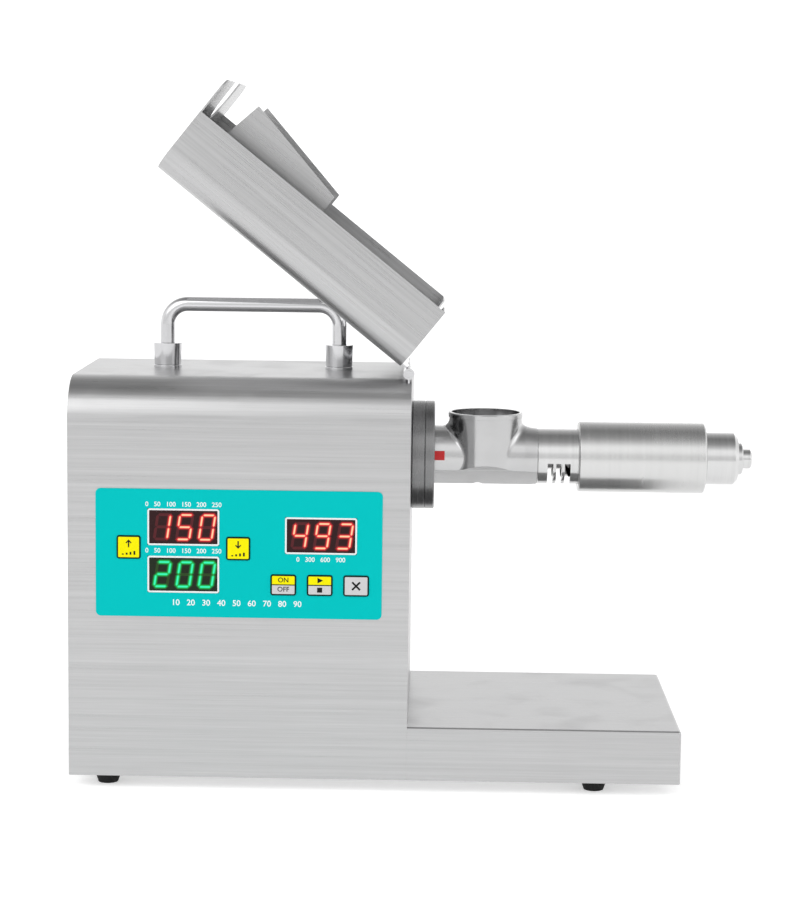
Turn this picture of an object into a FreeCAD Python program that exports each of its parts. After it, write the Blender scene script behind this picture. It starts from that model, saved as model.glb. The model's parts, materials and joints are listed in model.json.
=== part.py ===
"""Screw oil press: a bent-sheet cabinet with a geared motor, a cantilevered press barrel and a hinged hood.

Millimetres, +Z up. The pieces are drawn with X = 0 on the cabinet face that carries the barrel, Y = 0 in
the plane of the barrel axis and Z = 0 on the table, and are stored with the origin moved to the centre of
the feed throat's rim. The front with the controls looks along -Y and the barrel points along +X.
"""
import FreeCAD, Part
import math
import os

V = FreeCAD.Vector
X_AXIS = V(1, 0, 0)
Y_AXIS = V(0, 1, 0)
Z_AXIS = V(0, 0, 1)

# ---- Sheet metal -----------------------------------------------------------------------------------
sheet = 1.2                 # stainless sheet of the cabinet, the tray and the hood
end_plate = 1.5             # end plates and base plate
seam = 0.1                  # gap at a welded seam between two sheets
return_flange = 8.0         # lip folded inwards along the bottom edges

# ---- Cabinet ---------------------------------------------------------------------------------------
cabinet_length = 230.0
cabinet_depth = 180.0
cabinet_height = 271.4
cabinet_edge_radius = 29.0
plate_tab = 14.0            # foot of each end plate, folded inwards over the base plate
vent_slot_width = 3.6
vent_slot_height = 52.0
vent_slot_count = 9
vent_pitch = 8.0

# ---- Tray that carries the oil bowl ----------------------------------------------------------------
tray_length = 185.8
tray_height = 36.7
tray_bend_radius = 2.0

# ---- Feet ------------------------------------------------------------------------------------------
foot_height = 9.0
foot_top_radius = 10.3
foot_bottom_radius = 6.8
foot_recess_radius = 4.6
foot_recess_depth = 3.6
left_foot_inset = 24.3      # from the cabinet's free end
right_foot_inset = 57.4     # from the tray's free end
foot_side_inset = 20.0      # from the front and the back
foot_screw_radius = 2.0
foot_head_radius = 3.8
foot_head_height = 2.4
foot_nut_flats = 7.0
foot_nut_height = 3.2

# ---- Carrying handle -------------------------------------------------------------------------------
handle_span = 120.5
handle_left = 57.5          # left post from the cabinet's free end
handle_rise = 49.5          # top of the bar above the cabinet
handle_radius = 5.0
handle_bend = 14.0          # centre-line radius of both bends
collar_top_radius = 9.9
collar_bottom_radius = 9.3
collar_height = 15.0
ring_radius = 9.6
ring_height = 2.3
ring_edge = 0.5
handle_screw_radius = 2.5
handle_screw_depth = 14.0
handle_head_radius = 4.6
handle_head_height = 3.0
screw_clearance = 0.25      # between a screw shank and its hole
sliver = 0.01               # overlap or allowance that only keeps faces from coinciding
press_gap = 0.02            # between a hub and the shaft it's pressed on
face_gap = 0.1              # between two flat faces that lie against each other

# ---- Hood hinge ------------------------------------------------------------------------------------
hinge_length = 144.0
hinge_knuckles = 9
hinge_radius = 3.8
hinge_pin_radius = 1.8
hinge_pin_fit = 0.05
hinge_head_radius = 2.4
hinge_head_thickness = 0.6
hinge_gap = 0.3             # between neighbouring knuckles, and round them
hinge_notch_depth = 5.0     # of the notch for the fixed leaf in the cabinet's roof edge
leaf_thickness = 1.2
fixed_leaf_height = 14.5
moving_leaf_reach = 26.0

# ---- Hood ------------------------------------------------------------------------------------------
hood_open_angle = 141.3     # from closed to leaning on the handle
hood_start = 8.0            # hinge pin to the hood's hinge end
hood_length = 209.4
hood_width = 168.0
hood_depth = 47.9
hood_corner_radius = 18.0
hood_below_pin = 0.2        # outer face of the roof below the pin centre when closed
feed_hole_radius = 30.0
arch_clearance = 1.5        # arch in the hinge end round the mounting flange
slot_width = 42.0           # U slot in the free end that straddles the tail nut
slot_seat = 0.3             # closed hood above the tail nut
arm_reach = 27.0            # arms beyond the hood's long edges
arm_tip_radius = 13.0
shield_sheet = 1.0
shield_width = 84.0
shield_start = 114.0        # from the hinge pin
shield_length = 78.4
shield_short_depth = 58.5   # below the pin, at the hinge side
shield_long_depth = 73.7    # at the free side
shield_rake = 13.1          # roof of the shield longer than its edge

# ---- Press barrel ----------------------------------------------------------------------------------
axis_rise = 212.0           # barrel axis above the cabinet's underside
flange_radius = 38.0
flange_thickness = 16.0
flange_chamfer = 0.8
flange_groove = 8.8         # fine groove round the rim, from the cabinet face
flange_groove_depth = 0.5
flange_screw_circle = 29.0
flange_screw_radius = 3.0
flange_head_radius = 5.0
flange_head_height = 6.0
flange_head_sunk = 0.4
flange_socket_flats = 5.0
flange_socket_depth = 3.5
running_fit = 0.05
chamber_radius = 20.8
chamber_length = 88.0       # from the cabinet face
chamber_end_radius = 19.6
chamber_taper = 9.0         # length of the taper at its outer end
throat_offset = 51.5        # throat axis from the cabinet face
throat_height = 30.8        # rim above the barrel axis
throat_boss_radius = 25.6
throat_boss_drop = 8.0      # foot of the throat's boss below the axis
throat_rim_radius = 26.2
throat_rim_height = 3.4
throat_rim_edge = 0.8
throat_bore_radius = 23.9
throat_bore_depth = 9.0
throat_blend = 5.0
bevel_angle = 31.3          # of the two bevels on the casting's underside
bevel_keel = 20.2           # keel below the axis
drain_notch_radius = 5.5
drain_notch_offset = 46.5
drain_notch_depth = 1.1
index_mark_length = 7.0
index_mark_height = 6.5
index_mark_thickness = 0.4
index_mark_drop = 1.3       # lower edge below the axis
screw_bore_radius = 14.5
cage_radius = 19.4
cage_edge = 0.5
cage_end = 220.0
cage_step = 205.0           # where the thread for the tail nut starts
cage_thread_radius = 15.5
outlet_cone_radius = 8.9
oil_slot_first = 97.0
oil_slot_pitch = 6.0
oil_slot_width = 3.9
oil_slot_count = 3
oil_slot_top = 3.0          # top of the slots below the axis
sleeve_start = 116.5
sleeve_end = 205.5
sleeve_radius = 24.7
sleeve_lip = 2.2
heater_clearance = 0.3
heater_thickness = 3.6
heater_split = 7.0
thermocouple_radius = 1.8
thermocouple_length = 46.0
nut_start = 205.8
nut_end = 228.5
nut_radius = 18.35
nut_chamfer = 2.6
nut_edge = 0.4
nut_wall = 5.6
outlet_ring_radius = 11.15
outlet_ring_edge = 0.8
outlet_ring_end = 232.2
outlet_bore_radius = 7.9

# ---- Press screw -----------------------------------------------------------------------------------
screw_radius = 14.2
screw_core_start = 7.5
screw_core_end = 11.2
screw_flight_start = 22.0
screw_flight_end = 203.0
screw_pitch = 22.0
flight_root = 4.6
flight_tip = 2.6
flight_sink = 1.5           # of the flight's foot in the core
screw_shoulder = 0.5        # journal face from the cabinet face
screw_cone_radius = 13.6    # foot of the cone at the outlet
tail_radius = 6.85
tail_end = 238.6
tail_chamfer = 1.0
screw_journal_radius = 14.3
hex_flats = 14.0
hex_length = 26.0
hex_fit = 0.1

# ---- Gearbox and motor -----------------------------------------------------------------------------
gearbox_radius = 48.0
gearbox_depth = 56.0
gearbox_wall = 4.0
gearbox_front = 8.0
gearbox_low_centre = 81.0   # centre of the housing's lower round below the barrel axis
cover_thickness = 6.0
cover_screw_radius = 2.0
cover_screw_inset = 3.0      # from the housing's outside
cover_head_height = 2.4
cover_boss_radius = 5.0
cover_boss_length = 14.0
cover_screw_depth = 9.0      # into the housing
output_module = 2.0
output_teeth = 39
output_pinion_teeth = 13
output_face = 18.0
gear_hole_circle = 24.2     # lightening holes of the large gear
gear_hole_radius = 6.5
motor_module = 1.5
motor_gear_teeth = 48
motor_pinion_teeth = 12
motor_face = 10.0
gear_side_gap = 3.0         # between gears, and from gears to walls
gear_backlash = 0.3
pressure_angle = 20.0
gear_dedendum = 1.25        # of one module
gear_addendum = 0.95
output_shaft_radius = 12.0
output_bearing_radius = 20.0
idler_shaft_radius = 7.0
idler_bearing_radius = 12.0
bearing_width = 8.0
shaft_end_gap = 2.5         # shaft ends inside the cover
motor_radius = 43.0
motor_length = 112.0
motor_wall = 3.0
motor_screw_circle = 19.4
motor_end_wall = 5.0
motor_shaft_radius = 6.0
motor_bearing_radius = 11.0
rotor_radius = 24.0
rotor_length = 64.0
air_gap = 0.6
fan_radius = 37.0
fan_width = 11.0
fan_hub_radius = 10.0
fan_blades = 7
fan_blade_thickness = 1.6
fan_blade_angle = 38.0
fan_gap = 6.0

# ---- Control panel ---------------------------------------------------------------------------------
panel_inset = 19.0          # from the cabinet's free end
panel_rise = 110.8          # above the cabinet's underside
panel_width = 192.8
panel_height = 86.9
panel_thickness = 0.8
panel_corner = 3.4
display_width = 48.0
display_height = 24.6
display_frame = 1.1
frame_proud = 0.4
display_fit = 0.15
display_left_x = 59.1       # centres on the panel, from its upper left corner
display_upper_y = 25.7
display_lower_y = 57.9
display_right_x = 151.6
display_right_y = 30.4
arrow_key_width = 15.9
arrow_key_height = 15.6
arrow_key_y = 39.7
arrow_up_x = 22.3
arrow_down_x = 96.0
function_key_width = 17.0
function_key_height = 14.0
function_key_y = 64.0
function_key_x = 126.5
function_key_pitch = 24.5
key_corner = 1.6
key_edge = 0.35
key_flange_thickness = 1.0
key_fit = 0.2
key_proud = 0.7
key_travel = 0.5
key_flange = 1.2
key_flange_gap = 0.05
key_stem_radius = 2.0
switch_size = 6.0
switch_height = 3.6
switch_button_radius = 1.7
switch_button_height = 0.9
board_setback = 12.0        # board's front face behind the cabinet's front face
board_thickness = 1.6
board_margin = 4.0          # board edge inside the panel's edge
standoff_radius = 3.0
standoff_inset = 6.0
board_screw_radius = 1.5
board_screw_depth = 6.0      # into its standoff
board_screw_head = 1.8

# ---- Mains inlet and switch on the back ------------------------------------------------------------
inlet_inset = 42.0          # inlet centre from the cabinet's free end
inlet_rise = 42.0           # above the cabinet's underside
inlet_flange_width = 50.0
inlet_flange_height = 24.0
inlet_flange_thickness = 2.6
inlet_corner = 4.0
inlet_body_width = 28.4
inlet_body_height = 21.0
inlet_body_depth = 21.0
inlet_cavity_width = 24.6
inlet_cavity_height = 17.6
inlet_cavity_depth = 17.0
inlet_screw_spacing = 40.0
inlet_screw_radius = 1.5
inlet_screw_head = 1.4
inlet_nut_height = 2.4
pin_width = 2.0
pin_height = 4.0
pin_sunk = 1.6              # tips behind the inlet's face
pin_tag = 5.0               # solder tags behind its body
pin_spacing = 7.0
earth_pin_rise = 3.7
line_pin_rise = 0.6
rocker_offset = 48.0        # rocker centre from the inlet centre
rocker_frame_width = 15.0
rocker_frame_height = 21.0
rocker_frame_thickness = 2.0
rocker_body_depth = 18.0
rocker_wall = 1.2
rocker_corner = 1.5
rocker_mouth_depth = 9.0
rocker_gap = 0.35
rocker_side_gap = 0.2
rocker_depth = 2.6          # of the rocker behind its pivot
rocker_swing = 22.0
rocker_radius = 8.2
rocker_face_height = 2.2
rocker_pivot_depth = 3.4
rocker_pin_radius = 1.2
rocker_dish_radius = 24.0
rocker_dish_depth = 1.4

# ---- Places worked out from the sizes above --------------------------------------------------------
base_z = foot_height
top_z = base_z + cabinet_height
tray_top_z = base_z + tray_height
front_y = -cabinet_depth / 2
back_y = cabinet_depth / 2
free_x = -cabinet_length
axis_z = base_z + axis_rise
base_plate_z = base_z + sheet
base_plate_top_z = base_plate_z + end_plate
pin_x = -end_plate - leaf_thickness / 2
pin_z = top_z + hinge_radius + hinge_gap / 2
handle_left_x = free_x + handle_left
handle_right_x = handle_left_x + handle_span
throat_z = axis_z + throat_height
panel_left_x = free_x + panel_inset
panel_bottom_z = base_z + panel_rise
panel_top_z = panel_bottom_z + panel_height
board_y = front_y + board_setback
hood_z = pin_z - hood_below_pin
hood_edge_z = hood_z - hood_depth
hood_x = pin_x + hood_start
hood_end_x = hood_x + hood_length
slot_centre_z = axis_z + nut_radius + slot_seat - slot_width / 2
idler_z = axis_z - output_module * (output_teeth + output_pinion_teeth) / 2
motor_z = idler_z - motor_module * (motor_gear_teeth + motor_pinion_teeth) / 2
gearbox_x = -end_plate
cover_x = gearbox_x - gearbox_depth
motor_x = cover_x - cover_thickness
motor_end_x = motor_x - motor_length
output_gear_x = gearbox_x - gearbox_front - gear_side_gap
motor_gear_x = output_gear_x - output_face - gear_side_gap
rotor_x = motor_x - (motor_length - rotor_length) / 2
fan_x = motor_end_x - fan_gap
inlet_centre_x = free_x + inlet_inset
inlet_z = base_z + inlet_rise
rocker_x = inlet_centre_x + rocker_offset


# ---- Shape helpers ---------------------------------------------------------------------------------
def box(x0, x1, y0, y1, z0, z1):
    """Box between two opposite corners."""
    return Part.makeBox(x1 - x0, y1 - y0, z1 - z0, V(x0, y0, z0))


def rod_x(radius, x0, x1, y=0.0, z=None):
    """Round bar along X; the barrel axis is its default height."""
    height = axis_z if z is None else z
    return Part.makeCylinder(radius, x1 - x0, V(x0, y, height), X_AXIS)


def rod_y(radius, y0, y1, x, z):
    """Round bar along Y."""
    return Part.makeCylinder(radius, y1 - y0, V(x, y0, z), Y_AXIS)


def rod_z(radius, z0, z1, x, y=0.0):
    """Round bar along Z."""
    return Part.makeCylinder(radius, z1 - z0, V(x, y, z0), Z_AXIS)


def turned_x(profile, z=None):
    """Solid turned about an axis along X from (x, radius) points; the outline closes on the axis."""
    height = axis_z if z is None else z
    points = [V(x, 0, height + radius) for x, radius in profile]
    face = Part.Face(Part.makePolygon(points + [points[0]]))
    return face.revolve(V(0, 0, height), X_AXIS, 360)


def prism(points, direction):
    """Straight prism on a closed outline."""
    return Part.Face(Part.makePolygon(points + [points[0]])).extrude(direction)


def hexagon_x(flats, x0, x1, z):
    """Hexagonal bar along X."""
    corner = flats / math.sqrt(3)
    points = [V(x0, corner * math.cos(math.radians(60 * i)), z + corner * math.sin(math.radians(60 * i)))
              for i in range(6)]
    return prism(points, V(x1 - x0, 0, 0))


def hexagon_z(flats, z0, z1, x, y):
    """Hexagonal bar along Z."""
    corner = flats / math.sqrt(3)
    points = [V(x + corner * math.cos(math.radians(60 * i)), y + corner * math.sin(math.radians(60 * i)), z0)
              for i in range(6)]
    return prism(points, V(0, 0, z1 - z0))


def fused(shapes):
    """One solid from overlapping or touching shapes."""
    return shapes[0].multiFuse(shapes[1:]).removeSplitter()


def edges_along(shape, axis):
    """Straight edges parallel to an axis."""
    straight = [edge for edge in shape.Edges if isinstance(edge.Curve, Part.Line)]
    return [edge for edge in straight if abs(edge.tangentAt(edge.FirstParameter).dot(axis)) > 0.999]


def rounded_block(x0, x1, y0, y1, z0, z1, radius, axis):
    """Box whose four edges along one axis are rounded."""
    block = box(x0, x1, y0, y1, z0, z1)
    return block.makeFillet(radius, edges_along(block, axis))


def vaulted_block(x0, x1, half_width, z0, z1, radius):
    """Block along X whose two upper long edges are rounded, like a loaf."""
    block = box(x0, x1, -half_width, half_width, z0, z1)
    upper = [edge for edge in edges_along(block, X_AXIS) if edge.CenterOfMass.z > (z0 + z1) / 2]
    return block.makeFillet(radius, upper)


def opened(shape):
    """Hood piece drawn closed over the barrel, swung up to where the hood leans on the handle."""
    moved = shape.copy()
    moved.rotate(V(pin_x, 0, pin_z), Y_AXIS, -hood_open_angle)
    return moved


def screws_at(places, make):
    """Identical fasteners, each a solid of its own."""
    return Part.makeCompound([make(*place) for place in places])


# ---- Cabinet, tray and base ------------------------------------------------------------------------
def panel_point(x, y):
    """Panel coordinates, from its upper left corner, as X and Z of the part."""
    return panel_left_x + x, panel_top_z - y


def display_places():
    """Centres of the three displays."""
    return [panel_point(display_left_x, display_upper_y),
            panel_point(display_left_x, display_lower_y),
            panel_point(display_right_x, display_right_y)]


def key_places():
    """Name, centre and size of every key."""
    arrow = (arrow_key_width, arrow_key_height)
    function = (function_key_width, function_key_height)
    third_x = function_key_x + 2 * function_key_pitch
    return {
        "temperature_up_key": panel_point(arrow_up_x, arrow_key_y) + arrow,
        "temperature_down_key": panel_point(arrow_down_x, arrow_key_y) + arrow,
        "on_off_key": panel_point(function_key_x, function_key_y) + function,
        "press_stop_key": panel_point(function_key_x + function_key_pitch, function_key_y) + function,
        "clear_key": panel_point(third_x, function_key_y) + function,
    }


def panel_openings(y0, y1, display_margin, key_margin):
    """Cutters for the displays and the keys through a wall from y0 to y1."""
    cutters = []
    for x, z in display_places():
        half_width = display_width / 2 + display_margin
        half_height = display_height / 2 + display_margin
        cutters.append(box(x - half_width, x + half_width, y0, y1, z - half_height, z + half_height))
    for x, z, width, height in key_places().values():
        half_width = width / 2 + key_margin
        half_height = height / 2 + key_margin
        cutters.append(rounded_block(x - half_width, x + half_width, y0, y1,
                                     z - half_height, z + half_height, key_corner + key_margin, Y_AXIS))
    return cutters


def inlet_screw_places():
    """X and Z of the two inlet screws."""
    return [(inlet_centre_x - inlet_screw_spacing / 2, inlet_z),
            (inlet_centre_x + inlet_screw_spacing / 2, inlet_z)]


def cabinet_shell():
    """Front, roof and back bent from one sheet, with lips along the bottom."""
    half = cabinet_depth / 2
    outside = vaulted_block(free_x, 0, half, base_z, top_z, cabinet_edge_radius)
    inside = vaulted_block(free_x - 1, 1, half - sheet, base_z - 1, top_z - sheet,
                           cabinet_edge_radius - sheet)
    shell = outside.cut(inside)
    lips = [box(free_x, 0, front_y, front_y + sheet + return_flange, base_z, base_z + sheet),
            box(free_x, 0, back_y - sheet - return_flange, back_y, base_z, base_z + sheet)]
    shell = fused([shell] + lips)
    cutters = panel_openings(front_y - 1, front_y + sheet + 1, display_fit, key_fit)
    leaf_edge = pin_x - leaf_thickness / 2 - hinge_gap
    hinge_half = hinge_length / 2 + hinge_gap
    cutters.append(box(leaf_edge, 1, -hinge_half, hinge_half, top_z - hinge_notch_depth, top_z + 1))
    for x in (handle_left_x, handle_right_x):
        cutters.append(rod_z(handle_screw_radius + screw_clearance, top_z - sheet - 1, top_z + 1, x))
    body_half = inlet_body_width / 2 + display_fit
    body_rise = inlet_body_height / 2 + display_fit
    cutters.append(box(inlet_centre_x - body_half, inlet_centre_x + body_half,
                       back_y - sheet - 1, back_y + 1, inlet_z - body_rise, inlet_z + body_rise))
    for x, z in inlet_screw_places():
        cutters.append(rod_y(inlet_screw_radius + screw_clearance, back_y - sheet - 1, back_y + 1, x, z))
    rocker_half = rocker_frame_width / 2 - rocker_wall + display_fit
    rocker_rise = rocker_frame_height / 2 - rocker_wall + display_fit
    cutters.append(box(rocker_x - rocker_half, rocker_x + rocker_half,
                       back_y - sheet - 1, back_y + 1, inlet_z - rocker_rise, inlet_z + rocker_rise))
    return shell.cut(cutters)


def end_plate_blank(x0, x1):
    """End plate that closes the cabinet, inset flush between the walls."""
    half = cabinet_depth / 2 - sheet - seam
    return vaulted_block(x0, x1, half, base_plate_top_z, top_z - sheet - seam,
                         cabinet_edge_radius - sheet - seam)


def left_end_plate():
    """Free end of the cabinet, with vent slots in front of the motor fan."""
    inner_x = free_x + end_plate
    half = cabinet_depth / 2 - sheet - seam
    plate = end_plate_blank(free_x, inner_x)
    tab = box(free_x, inner_x + plate_tab, -half, half, base_plate_top_z, base_plate_top_z + end_plate)
    plate = fused([plate, tab])
    first = -vent_pitch * (vent_slot_count - 1) / 2
    slots = []
    for i in range(vent_slot_count):
        y = first + i * vent_pitch
        slots.append(rounded_block(free_x - 1, inner_x + 1,
                                   y - vent_slot_width / 2, y + vent_slot_width / 2,
                                   motor_z - vent_slot_height / 2, motor_z + vent_slot_height / 2,
                                   vent_slot_width / 2 - sliver, X_AXIS))
    return plate.cut(slots)


def flange_screw_places():
    """Y and Z of the four flange screws."""
    reach = flange_screw_circle * math.sqrt(0.5)
    return [(y * reach, axis_z + z * reach) for y in (-1, 1) for z in (-1, 1)]


def right_end_plate():
    """Barrel end of the cabinet, drilled for the barrel and its screws."""
    inner_x = -end_plate
    half = cabinet_depth / 2 - sheet - seam
    plate = end_plate_blank(inner_x, 0)
    tab = box(inner_x - plate_tab, 0, -half, half, base_plate_top_z, base_plate_top_z + end_plate)
    plate = fused([plate, tab])
    cutters = [rod_x(chamber_radius + running_fit, inner_x - 1, 1)]
    for y, z in flange_screw_places():
        cutters.append(rod_x(flange_screw_radius + screw_clearance, inner_x - 1, 1, y, z))
    return plate.cut(cutters)


def foot_places():
    """X and Y of the four feet."""
    reach = cabinet_depth / 2 - foot_side_inset
    return [(x, y) for x in (free_x + left_foot_inset, tray_length - right_foot_inset)
            for y in (-reach, reach)]


def base_plate():
    """One plate that closes the cabinet and the tray from below and carries the feet."""
    half = cabinet_depth / 2 - sheet - seam
    plate = box(free_x, tray_length - sheet - seam, -half, half, base_plate_z, base_plate_top_z)
    holes = [rod_z(foot_screw_radius + screw_clearance, base_plate_z - 1, base_plate_top_z + 1, x, y)
             for x, y in foot_places()]
    return plate.cut(holes)


def tray_platform():
    """Folded tray beside the cabinet that the oil bowl stands on."""
    half = cabinet_depth / 2
    block = box(0, tray_length, -half, half, base_z, tray_top_z)
    rounded = [edge for edge in block.Edges
               if edge.CenterOfMass.z > tray_top_z - 1 and edge.CenterOfMass.x > 1]
    rounded += [edge for edge in edges_along(block, Z_AXIS) if edge.CenterOfMass.x > 1]
    outside = block.makeFillet(tray_bend_radius, rounded)
    inside = box(sheet, tray_length - sheet, -half + sheet, half - sheet, base_z - 1, tray_top_z - sheet)
    tray = outside.cut(inside)
    lips = [box(sheet, tray_length - sheet, y0, y0 + return_flange, base_z, base_z + sheet)
            for y0 in (-half + sheet, half - sheet - return_flange)]
    tray = fused([tray] + lips)
    passage = box(-1, sheet + 1, -half + sheet, half - sheet, base_z - 1, base_plate_top_z + seam)
    return tray.cut(passage)


def rubber_foot(x, y):
    """Tapered foot with a recess for its screw head."""
    height = base_plate_z
    foot = Part.makeCone(foot_bottom_radius, foot_top_radius, height, V(x, y, 0), Z_AXIS)
    recess = rod_z(foot_recess_radius, -1, foot_recess_depth, x, y)
    hole = rod_z(foot_screw_radius + screw_clearance, 0, height + 1, x, y)
    return foot.cut([recess, hole])


def foot_screw(x, y):
    """Pan-head screw up through the foot and the base plate."""
    head = rod_z(foot_head_radius, foot_recess_depth - foot_head_height, foot_recess_depth, x, y)
    shank = rod_z(foot_screw_radius, foot_recess_depth, base_plate_top_z + foot_nut_height + 1, x, y)
    return fused([head, shank])


def foot_nut(x, y):
    """Hexagon nut on the base plate."""
    nut = hexagon_z(foot_nut_flats, base_plate_top_z, base_plate_top_z + foot_nut_height, x, y)
    return nut.cut(rod_z(foot_screw_radius + running_fit, base_plate_top_z - 1, top_z, x, y))


# ---- Handle ----------------------------------------------------------------------------------------
def handle_bar():
    """Round bar bent twice, drilled from below for its screws."""
    foot_z = top_z + ring_height
    bar_z = top_z + handle_rise - handle_radius
    lx = handle_left_x
    rx = handle_right_x
    bend = handle_bend
    near = bend * (1 - math.sqrt(0.5))
    points = [V(lx, 0, foot_z), V(lx, 0, bar_z - bend), V(lx + bend, 0, bar_z),
              V(rx - bend, 0, bar_z), V(rx, 0, bar_z - bend), V(rx, 0, foot_z)]
    path = Part.Wire([
        Part.makeLine(points[0], points[1]),
        Part.Arc(points[1], V(lx + near, 0, bar_z - near), points[2]).toShape(),
        Part.makeLine(points[2], points[3]),
        Part.Arc(points[3], V(rx - near, 0, bar_z - near), points[4]).toShape(),
        Part.makeLine(points[4], points[5]),
    ])
    section = Part.Wire(Part.makeCircle(handle_radius, points[0], Z_AXIS))
    bar = path.makePipeShell([section], True, True)
    holes = [rod_z(handle_screw_radius + running_fit, foot_z - 1, foot_z + handle_screw_depth, x)
             for x in (lx, rx)]
    return bar.cut(holes)


def handle_collar(x):
    """Tapered sleeve round the foot of a handle post."""
    low = top_z + ring_height
    collar = Part.makeCone(collar_bottom_radius, collar_top_radius, collar_height, V(x, 0, low), Z_AXIS)
    return collar.cut(rod_z(handle_radius + running_fit, low - 1, low + collar_height + 1, x))


def handle_ring(x):
    """Foot ring between the cabinet roof and a handle post."""
    ring = rod_z(ring_radius, top_z, top_z + ring_height, x)
    ring = ring.makeChamfer(ring_edge, [edge for edge in ring.Edges if edge.CenterOfMass.z > top_z + 1])
    return ring.cut(rod_z(handle_screw_radius + screw_clearance, top_z - 1, top_z + ring_height + 1, x))


def handle_screw(x):
    """Screw from inside the cabinet up into a handle post."""
    under = top_z - sheet
    head = rod_z(handle_head_radius, under - handle_head_height, under, x)
    shank = rod_z(handle_screw_radius, under, top_z + ring_height + handle_screw_depth - 1, x)
    return fused([head, shank])


# ---- Hinge -----------------------------------------------------------------------------------------
def knuckle_range(index):
    """Y of both ends of a knuckle."""
    pitch = hinge_length / hinge_knuckles
    start = -hinge_length / 2 + index * pitch
    return start + hinge_gap / 2, start + pitch - hinge_gap / 2


def with_knuckles(leaf, parity):
    """Leaf cleared round the other leaf's knuckles, with its own knuckles added and bored."""
    others = []
    own = []
    for i in range(hinge_knuckles):
        y0, y1 = knuckle_range(i)
        if i % 2 == parity:
            own.append(rod_y(hinge_radius, y0, y1, pin_x, pin_z))
        else:
            others.append(rod_y(hinge_radius + hinge_gap, y0 - hinge_gap, y1 + hinge_gap, pin_x, pin_z))
    body = fused([leaf.cut(others)] + own)
    bore = rod_y(hinge_pin_radius + hinge_pin_fit, -hinge_length, hinge_length, pin_x, pin_z)
    return body.cut(bore)


def hinge_fixed_leaf():
    """Leaf welded inside the barrel-side end plate, its knuckles above the roof."""
    y0 = knuckle_range(0)[0]
    half = leaf_thickness / 2
    leaf = box(pin_x - half, pin_x + half, y0, -y0, pin_z - fixed_leaf_height, pin_z)
    return with_knuckles(leaf, 0)


def hinge_moving_leaf():
    """Leaf welded under the hood's roof."""
    half = hood_width / 2 - hood_corner_radius
    roof_z = hood_z - sheet
    leaf = box(pin_x, pin_x + moving_leaf_reach, -half, half, roof_z - leaf_thickness, roof_z)
    return opened(with_knuckles(leaf, 1))


def hinge_pin():
    """Pin through all knuckles, peened at both ends."""
    half = -knuckle_range(0)[0]
    head = hinge_head_thickness
    pin = rod_y(hinge_pin_radius, -half - head, half + head, pin_x, pin_z)
    heads = [rod_y(hinge_head_radius, y, y + head, pin_x, pin_z) for y in (-half - head, half)]
    return fused([pin] + heads)


# ---- Hood ------------------------------------------------------------------------------------------
def hood_shell():
    """Roof and two long walls of the hood bent from one sheet, with the feed hole over the throat."""
    half = hood_width / 2
    outside = vaulted_block(hood_x, hood_end_x, half, hood_edge_z, hood_z, hood_corner_radius)
    inside = vaulted_block(hood_x - 1, hood_end_x + 1, half - sheet, hood_edge_z - 1, hood_z - sheet,
                           hood_corner_radius - sheet)
    feed_hole = rod_z(feed_hole_radius, hood_z - sheet - 1, hood_z + 1, throat_offset)
    return opened(outside.cut([inside, feed_hole]))


def hood_plate_blank(x0, x1, z0):
    """End plate of the hood, inset between its walls, down to z0."""
    half = hood_width / 2 - sheet - seam
    return vaulted_block(x0, x1, half, z0, hood_z - sheet - seam, hood_corner_radius - sheet - seam)


def hood_hinge_end():
    """Hinge end of the hood, arched over the mounting flange and slotted for the hinge leaf."""
    plate = hood_plate_blank(hood_x, hood_x + sheet, hood_edge_z)
    arch = rod_x(flange_radius + arch_clearance, hood_x - 1, hood_x + sheet + 1)
    leaf_half = hood_width / 2 - hood_corner_radius + hinge_gap
    leaf_low = hood_z - sheet - leaf_thickness - seam
    leaf_slot = box(hood_x - 1, hood_x + sheet + 1, -leaf_half, leaf_half, leaf_low, hood_z)
    return opened(plate.cut([arch, leaf_slot]))


def hood_slotted_end():
    """Free end of the hood, with a U slot between two long arms that straddle the tail nut."""
    tip_z = hood_edge_z - arm_reach
    plate = hood_plate_blank(hood_end_x - sheet, hood_end_x, tip_z)
    corners = [edge for edge in edges_along(plate, X_AXIS)
               if abs(edge.CenterOfMass.z - tip_z) < 0.1]
    plate = plate.makeFillet(arm_tip_radius, corners)
    round_end = rod_x(slot_width / 2, hood_end_x - sheet - 1, hood_end_x + 1, 0, slot_centre_z)
    parallel = box(hood_end_x - sheet - 1, hood_end_x + 1, -slot_width / 2, slot_width / 2,
                   tip_z - 1, slot_centre_z)
    return opened(plate.cut([round_end, parallel]))


def heat_shield():
    """Channel under the hood's roof that keeps the heater's warmth off the hood, its edges raked."""
    roof_z = hood_z - sheet
    x0 = pin_x + shield_start
    x1 = x0 + shield_length
    outline = [V(x0, 0, roof_z), V(x0, 0, pin_z - shield_short_depth),
               V(x1, 0, pin_z - shield_long_depth), V(x1 + shield_rake, 0, roof_z)]
    half = shield_width / 2
    block = prism([point + V(0, -half, 0) for point in outline], V(0, shield_width, 0))
    hollow = box(x0 - 1, x1 + shield_rake + 1, -half + shield_sheet, half - shield_sheet,
                 pin_z - shield_long_depth - 1, roof_z - shield_sheet)
    return opened(block.cut(hollow))


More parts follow.
